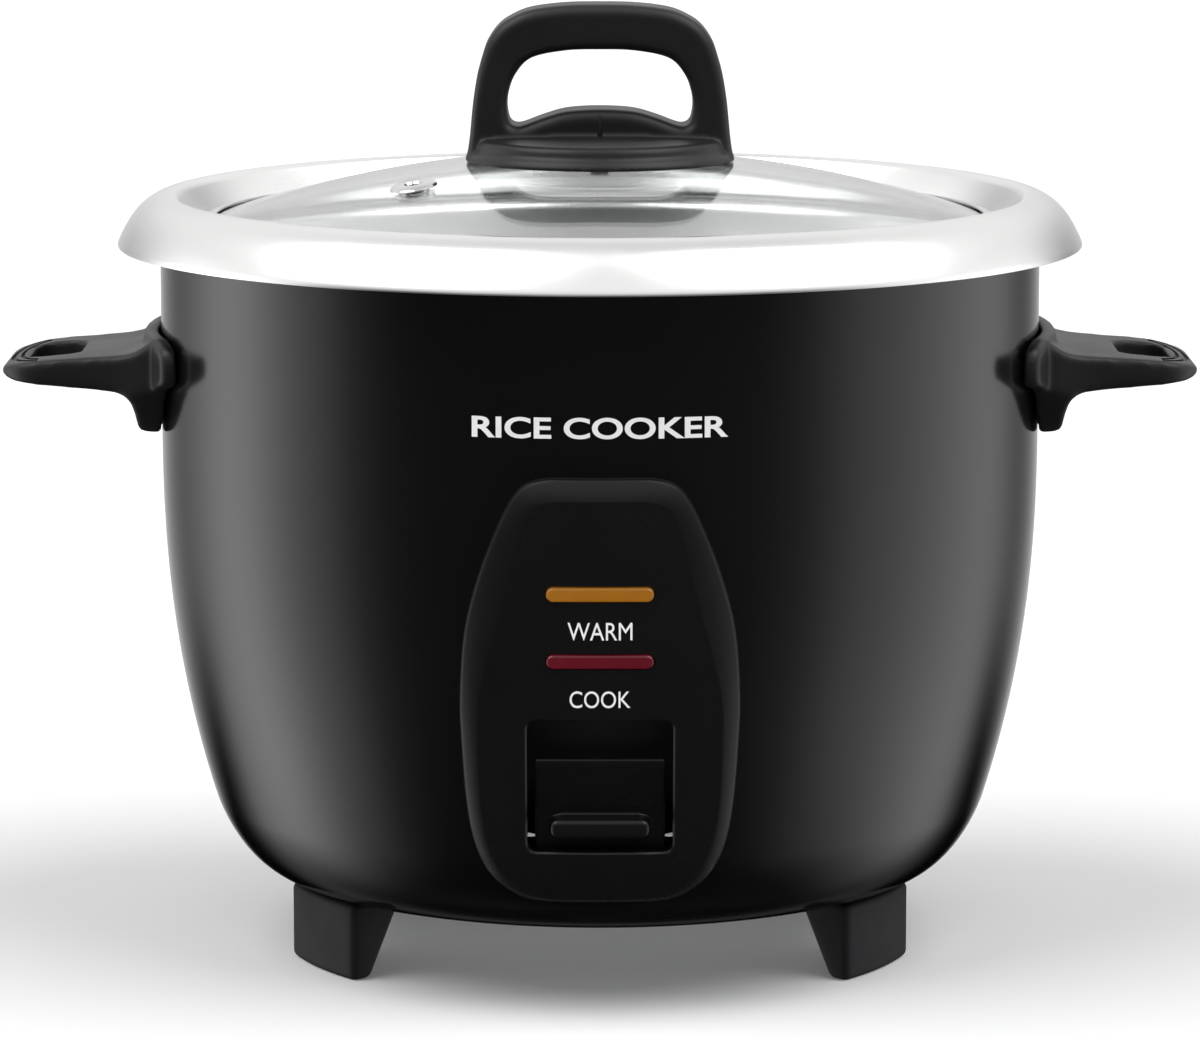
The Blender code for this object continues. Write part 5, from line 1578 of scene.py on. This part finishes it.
@dataclass
class Chamber:
    """What shows when the pot is lifted out: the liner, the heating plate and the thermostat's cap."""

    shell: Shell
    sheet: float = 0.8
    wall_gap: float = 13.7
    brim_roll: float = 2.5
    corner: float = 12.0
    middle_hole: float = 21.0
    screw_hole: float = 2.1
    lead_hole: float = 4.4
    lead_radius: float = 56.0
    lead_angles: Point = (75.0, 105.0)
    heater_bore: float = 19.5
    groove_low: float = 52.5
    groove_high: float = 59.5
    groove_depth: float = 7.0
    painted_shade_above: float = 0.3

    def build(self) -> None:
        """Turn the three pieces."""
        self.liner()
        self.heater()
        self.button()

    def liner(self) -> None:
        """Press the liner, bright inside, with its outside in painted shade: flat black where the body's inside lies
        in shade.
        """
        liner = Space.of("inner_liner")
        radius = self.shell.radius - self.shell.sheet - self.wall_gap - self.sheet
        top, floor = liner.high.z, liner.low.z + self.sheet
        path = [(liner.high.x, top)]
        path += arc((radius + self.brim_roll, top - self.brim_roll), self.brim_roll, 90, 180, 8)
        path += [(radius, top - 60)]
        path += arc((radius - self.corner, floor + self.corner), self.corner, 0, -90, 12)
        path += [(60.0, floor), (self.middle_hole, floor)]
        chamber = turned("chamber_wall", walled(path, self.sheet))
        for number in PLATE_SCREWS:
            spot = Space.of(f"plate_screw_{number}").middle
            combine(chamber, peg("tool", self.screw_hole, (spot.x, spot.y, floor - 5), (spot.x, spot.y, floor + 5)))
        for angle in self.lead_angles:
            x, y = (self.lead_radius * way(math.radians(angle)) for way in (math.cos, math.sin))
            combine(chamber, peg("tool", self.lead_hole, (x, y, floor - 5), (x, y, floor + 5)))
        hand_over(chamber, ALUMINIUM, Role("base", "aluminium", ("inner_liner",)))
        # Faces that look outwards or down get painted shade, a flat black for the shade between the liner and the
        # shell.
        chamber.data.materials.append(PAINTED_SHADE_BLACK.material())
        with editing(chamber):
            bpy.ops.mesh.select_mode(type="FACE")
            shape = bmesh.from_edit_mesh(chamber.data)
            for face in shape.faces:
                spot = face.calc_center_median()
                outward = (face.normal.x * spot.x + face.normal.y * spot.y) / math.hypot(spot.x, spot.y)
                face.select = outward - face.normal.z > self.painted_shade_above
            bmesh.update_edit_mesh(chamber.data)
            chamber.active_material_index = 1
            bpy.ops.object.material_slot_assign()

    def heater(self) -> None:
        """Turn the heating plate, with the groove that its element lies in."""
        plate, bore = Space.of("heating_plate"), self.heater_bore
        low, high, rim = plate.low.z, plate.high.z, plate.high.x
        roof = low + self.groove_depth
        section = [(bore, low), (self.groove_low, low), (self.groove_low, roof), (self.groove_high, roof),
                   (self.groove_high, low), (rim, low), (rim, high - 2.6), (rim - 0.5, high - 1.2),
                   (rim - 3.6, high - 0.1), (rim - 5.0, high), (bore + 0.7, high), (bore, high - 0.7)]
        heater = turned("heater_casting", section)
        for number in PLATE_SCREWS:
            spot = Space.of(f"plate_screw_{number}").middle
            combine(heater, peg("tool", self.screw_hole, (spot.x, spot.y, low - 1), (spot.x, spot.y, high - 3.6)))
        hand_over(heater, CAST, Role("base", "aluminium", ("heating_plate",)))

    def button(self) -> None:
        """Turn the thermostat's cap."""
        cap = Space.of("thermostat_cap")
        low, high, rim = cap.low.z, cap.high.z, cap.high.x
        section = [(0.0, high), (rim - 1.8, high), (rim - 0.8, high - 0.3), (rim, high - 1.4), (rim, low),
                   (rim - 1.0, low), (rim - 1.0, high - 1.5), (0.0, high - 1.5)]
        button = turned("thermostat_button", section, 72)
        hand_over(button, ALUMINIUM, Role("cap", "aluminium", ("thermostat_cap",)))


@dataclass
class CapSpring:
    """Wire spring under the thermostat's cap, made at one length; the real spring shortens as the cap is pressed."""

    wire: float = 0.6
    turns: int = 6
    steps_per_turn: int = 36
    travel: float = 2.0

    def build(self) -> None:
        """Wind the spring from a ring of its wire."""
        space = Space.of("thermostat_spring")
        length = space.high.z - space.low.z
        clear_selection()
        bpy.ops.mesh.primitive_circle_add(
            vertices=12, radius=self.wire * MM, rotation=(math.radians(90), 0, 0),
            location=((space.high.x - self.wire) * MM, 0, (space.low.z + self.wire) * MM),
        )
        spring = newest("cap_spring")
        steps = self.turns * self.steps_per_turn
        modify(
            spring, "SCREW", axis="Z", angle=2 * math.pi * self.turns, steps=steps, render_steps=steps,
            screw_offset=(length - 2 * self.wire) * MM, use_merge_vertices=False,
        )
        with editing(spring):
            bpy.ops.mesh.select_all(action="SELECT")
            bpy.ops.mesh.fill_holes(sides=0)
        close_up(spring)
        hand_over(spring, SCREW_STEEL, Role("base", "zinc_steel", ("thermostat_spring",)), 60)
        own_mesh(spring)


@dataclass(frozen=True)
class Word:
    """A printed word: its middle height, letter height, whole width and how far it lies off the shell."""

    text: str
    name: str
    height: float
    tall: float
    wide: float
    lift: float
    weight: float = 0.0


@dataclass
class Lettering:
    """Plain printed words, pressed onto the shell and the panel."""

    shell: Shell
    ink: float = 0.12
    words: tuple[Word, ...] = (
        Word("WARM", "print_warm", 108.2, 4.7, 16.7, 5.66),
        Word("COOK", "print_cook", 90.0, 4.5, 15.7, 5.66),
        Word("RICE COOKER", "print_name", 160.4, 5.6, 66.0, 0.06, 0.022),
    )

    def build(self) -> None:
        """Print each word."""
        for word in self.words:
            clear_selection()
            bpy.ops.object.text_add(location=(0, 0, 0))
            text = bpy.context.object
            text.data.body = word.text
            text.data.align_x = "CENTER"
            text.data.resolution_u = 6
            text.data.offset = word.weight
            bpy.ops.object.convert(target="MESH")
            printed = bpy.context.object
            printed.name = printed.data.name = word.name
            xs, ys = [v.co.x for v in printed.data.vertices], [v.co.y for v in printed.data.vertices]
            scale_x, scale_y = word.wide * MM / (max(xs) - min(xs)), word.tall * MM / (max(ys) - min(ys))
            printed.scale = (scale_x, scale_y, 1.0)
            printed.rotation_euler = (math.radians(90), 0, 0)
            printed.location = (
                -(max(xs) + min(xs)) / 2 * scale_x, AHEAD * MM, word.height * MM - (max(ys) + min(ys)) / 2 * scale_y
            )
            settle(printed)
            self.shell.press(printed, word.lift)
            modify(printed, "SOLIDIFY", thickness=self.ink * MM, offset=1.0)
            hand_over(printed, PRINT, Role("base", "black_plastic"), 30)


CARRIED: dict[Finish, tuple[str, ...]] = {
    ZINC: ("base_plate", "lever_arm", "lever_bracket", "thermostat_housing", "heating_element"),
    SCREW_STEEL: (
        *(f"foot_screw_{end}_{side}" for end in ENDS for side in SIDES),
        *(f"handle_screw_{side}_{end}" for side in SIDES for end in ENDS),
        *(f"panel_screw_{place}" for place in PANEL_SCREWS),
        *(f"plate_{kind}_{number}" for kind in ("screw", "spacer") for number in PLATE_SCREWS),
        "lever_pin", "knob_screw",
    ),
    BRASS: tuple(f"inlet_pin_{pin}" for pin in PINS),
    MOULDED: ("lamp_holder", "microswitch"),
    FERRITE: ("thermostat_ferrite", "thermostat_magnet", "keep_warm_thermostat"),
    SILICONE: ("knob_washer", "switch_plunger", "thermal_fuse"),
    AMBER: ("warm_lamp",),
    RED: ("cook_lamp",),
}


@dataclass
class Internals:
    """Nodes of the frame that are shown as they are, each with its finish."""

    nodes: dict[str, bpy.types.Object]

    def build(self) -> None:
        """Dress every carried node."""
        for finish, names in CARRIED.items():
            for name in names:
                dress(self.nodes[name], finish)
                LOG.info("dressed %s as %s", name, finish.name)


@dataclass
class Studio:
    """Pale floor, soft light all round and the camera.

    The pairs from deep to rise are parts of a direction, between -1 and 1, where one light fades into another.
    Screens are (angle from the front in degrees, strength).
    """

    floor_half: float = 6.0
    camera_place: Spot = (0.0, -1.6, 0.369)
    camera_pitch: float = 81.06
    lens: float = 174.5
    fill: float = 0.27
    key_turn: float = 68.0
    key_height: float = 54.0
    key_spread: float = 50.0
    key_strength: float = 1.75
    brightest: float = 2.4
    deep: Point = (-0.88, -0.4)
    deep_light: float = 0.04
    behind: Point = (0.55, 0.8)
    below: Point = (-0.2, -0.34)
    ceiling: Point = (0.62, 0.98)
    ceiling_light: Point = (0.92, 0.7)
    rise: Point = (0.03, 0.45)
    screens: tuple[Point, ...] = (
        (-178, 0.8), (-162, 0.6), (-150, 0.42), (-139, 0.34), (-126, 1.0), (-115, 2.05), (-106, 2.4), (-97, 2.1),
        (-87, 1.35), (-76, 0.85), (-66, 0.28), (-54, 0.08), (-40, 0.05), (0, 0.06), (40, 0.07), (54, 0.26),
        (63, 0.55), (72, 0.9), (82, 1.08), (93, 1.36), (105, 1.5), (115, 1.45), (125, 1.1), (137, 0.3),
        (149, 0.28), (161, 0.55), (178, 0.8),
    )

    def build(self) -> None:
        """Set up the floor, the lights and the camera."""
        self.floor()
        self.sky()
        for name, turn in (("left_key", -self.key_turn), ("right_key", self.key_turn)):
            self.key(name, turn)
        data = bpy.data.cameras.new("camera")
        data.lens = self.lens
        data.sensor_width = 36.0
        camera = bpy.data.objects.new("camera", data)
        camera.location = self.camera_place
        camera.rotation_euler = (math.radians(self.camera_pitch), 0, 0)
        bpy.context.scene.collection.objects.link(camera)
        bpy.context.scene.camera = camera
        bpy.context.scene.view_settings.view_transform = "Standard"

    def floor(self) -> None:
        """Lay the floor, which casts no reflection on the shell."""
        clear_selection()
        bpy.ops.mesh.primitive_plane_add(size=2 * self.floor_half, location=(0, 0, 0))
        floor = newest("floor")
        finish = Finish("pale_floor", (0.93, 0.93, 0.935), 0.9, spacing=4, depth=0.01, patch=400, shade=0.004,
                        unevenness=0.02, specular=0.0, glow=0.08)
        dress(floor, finish)
        floor.visible_glossy = False
        floor.visible_shadow = False

    def sky(self) -> None:
        """Surround the cooker with a tall soft screen at each side, a bright ceiling and a dark front."""
        world = bpy.data.worlds.new("studio")
        bpy.context.scene.world = world
        world.use_nodes = True
        tree = world.node_tree
        tree.nodes.clear()

        apart = add_node(tree, "ShaderNodeSeparateXYZ")
        tree.links.new(add_node(tree, "ShaderNodeTexCoord").outputs["Generated"], apart.inputs[0])
        across, along, up = apart.outputs
        turn = worked_out(tree, "ARCTAN2", across, worked_out(tree, "MULTIPLY", along, -1.0))
        deep = eased(tree, up, self.deep, (self.deep_light, self.brightest))
        sides = worked_out(tree, "MULTIPLY", self.ring(tree, turn), deep)
        hidden = worked_out(tree, "MULTIPLY", eased(tree, along, self.behind), eased(tree, up, self.below))
        sides = worked_out(tree, "MULTIPLY", sides, worked_out(tree, "SUBTRACT", 1.0, hidden))
        rise = eased(tree, up, self.rise)
        upper = worked_out(tree, "MULTIPLY", eased(tree, up, self.ceiling, self.ceiling_light), rise)
        lower = worked_out(tree, "MULTIPLY", sides, worked_out(tree, "SUBTRACT", 1.0, rise))
        light, white = add_node(tree, "ShaderNodeBackground"), add_node(tree, "ShaderNodeBackground")
        path = add_node(tree, "ShaderNodeLightPath")
        fill = worked_out(tree, "MULTIPLY_ADD", path.outputs["Is Diffuse Ray"], self.fill - 1.0, 1.0)
        strength = worked_out(tree, "MULTIPLY", worked_out(tree, "ADD", upper, lower), fill)
        tree.links.new(strength, light.inputs["Strength"])
        either, out = add_node(tree, "ShaderNodeMixShader"), add_node(tree, "ShaderNodeOutputWorld")
        tree.links.new(path.outputs["Is Camera Ray"], either.inputs[0])
        tree.links.new(light.outputs[0], either.inputs[1])
        tree.links.new(white.outputs[0], either.inputs[2])
        tree.links.new(either.outputs[0], out.inputs["Surface"])
        light.inputs["Color"].default_value = (1.0, 1.0, 1.0, 1.0)
        white.inputs["Color"].default_value = (1.0, 1.0, 1.0, 1.0)

    def ring(self, tree: bpy.types.NodeTree, turn: bpy.types.NodeSocket) -> bpy.types.NodeSocket:
        """Set out the screens that stand all round.

        Args:
            tree: The world's nodes.
            turn: Direction from the front, in radians.

        Returns:
            How bright it is there.
        """
        screens = add_node(tree, "ShaderNodeValToRGB")
        ramp = screens.color_ramp
        ramp.interpolation = "B_SPLINE"
        while len(ramp.elements) > 1:
            ramp.elements.remove(ramp.elements[0])
        for number, (angle, value) in enumerate(self.screens):
            stop = ramp.elements.new((angle + 180) / 360) if number else ramp.elements[0]
            stop.position = (angle + 180) / 360
            stop.color = (value / self.brightest,) * 3 + (1.0,)
        tree.links.new(worked_out(tree, "MULTIPLY_ADD", turn, 0.5 / math.pi, 0.5), screens.inputs[0])
        return screens.outputs[0]

    def key(self, name: str, turn: float) -> None:
        """Shine a broad, even light down from the front.

        Args:
            name: Name of the light.
            turn: Its direction from the front, in degrees, positive to the right.
        """
        data = bpy.data.lights.new(name, "SUN")
        data.energy = self.key_strength
        data.angle = math.radians(self.key_spread)
        lamp = bpy.data.objects.new(name, data)
        lamp.rotation_euler = (math.radians(90 - self.key_height), 0, math.radians(turn))
        bpy.context.scene.collection.objects.link(lamp)


def corners(box: tuple[Vector, Vector]) -> list[list[float]]:
    """Return a box's two corners as plain numbers."""
    return [[float(value) for value in corner] for corner in box]


def main() -> None:
    """Build the cooker's looks, piece by piece."""
    logging.basicConfig(level=logging.INFO, format="%(name)s: %(message)s")
    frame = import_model()
    shell = Shell()
    shell.build()
    Pot().build()
    Lid().build()
    LidHandle().build()
    SideHandles(shell).build()
    ControlPanel(shell).build()
    CookLever(shell).build()
    Feet().build()
    Inlet(shell).build()
    Chamber(shell).build()
    CapSpring().build()
    Lettering(shell).build()
    Internals(frame["nodes"]).build()
    Studio().build()


if __name__ == "__main__":
    main()
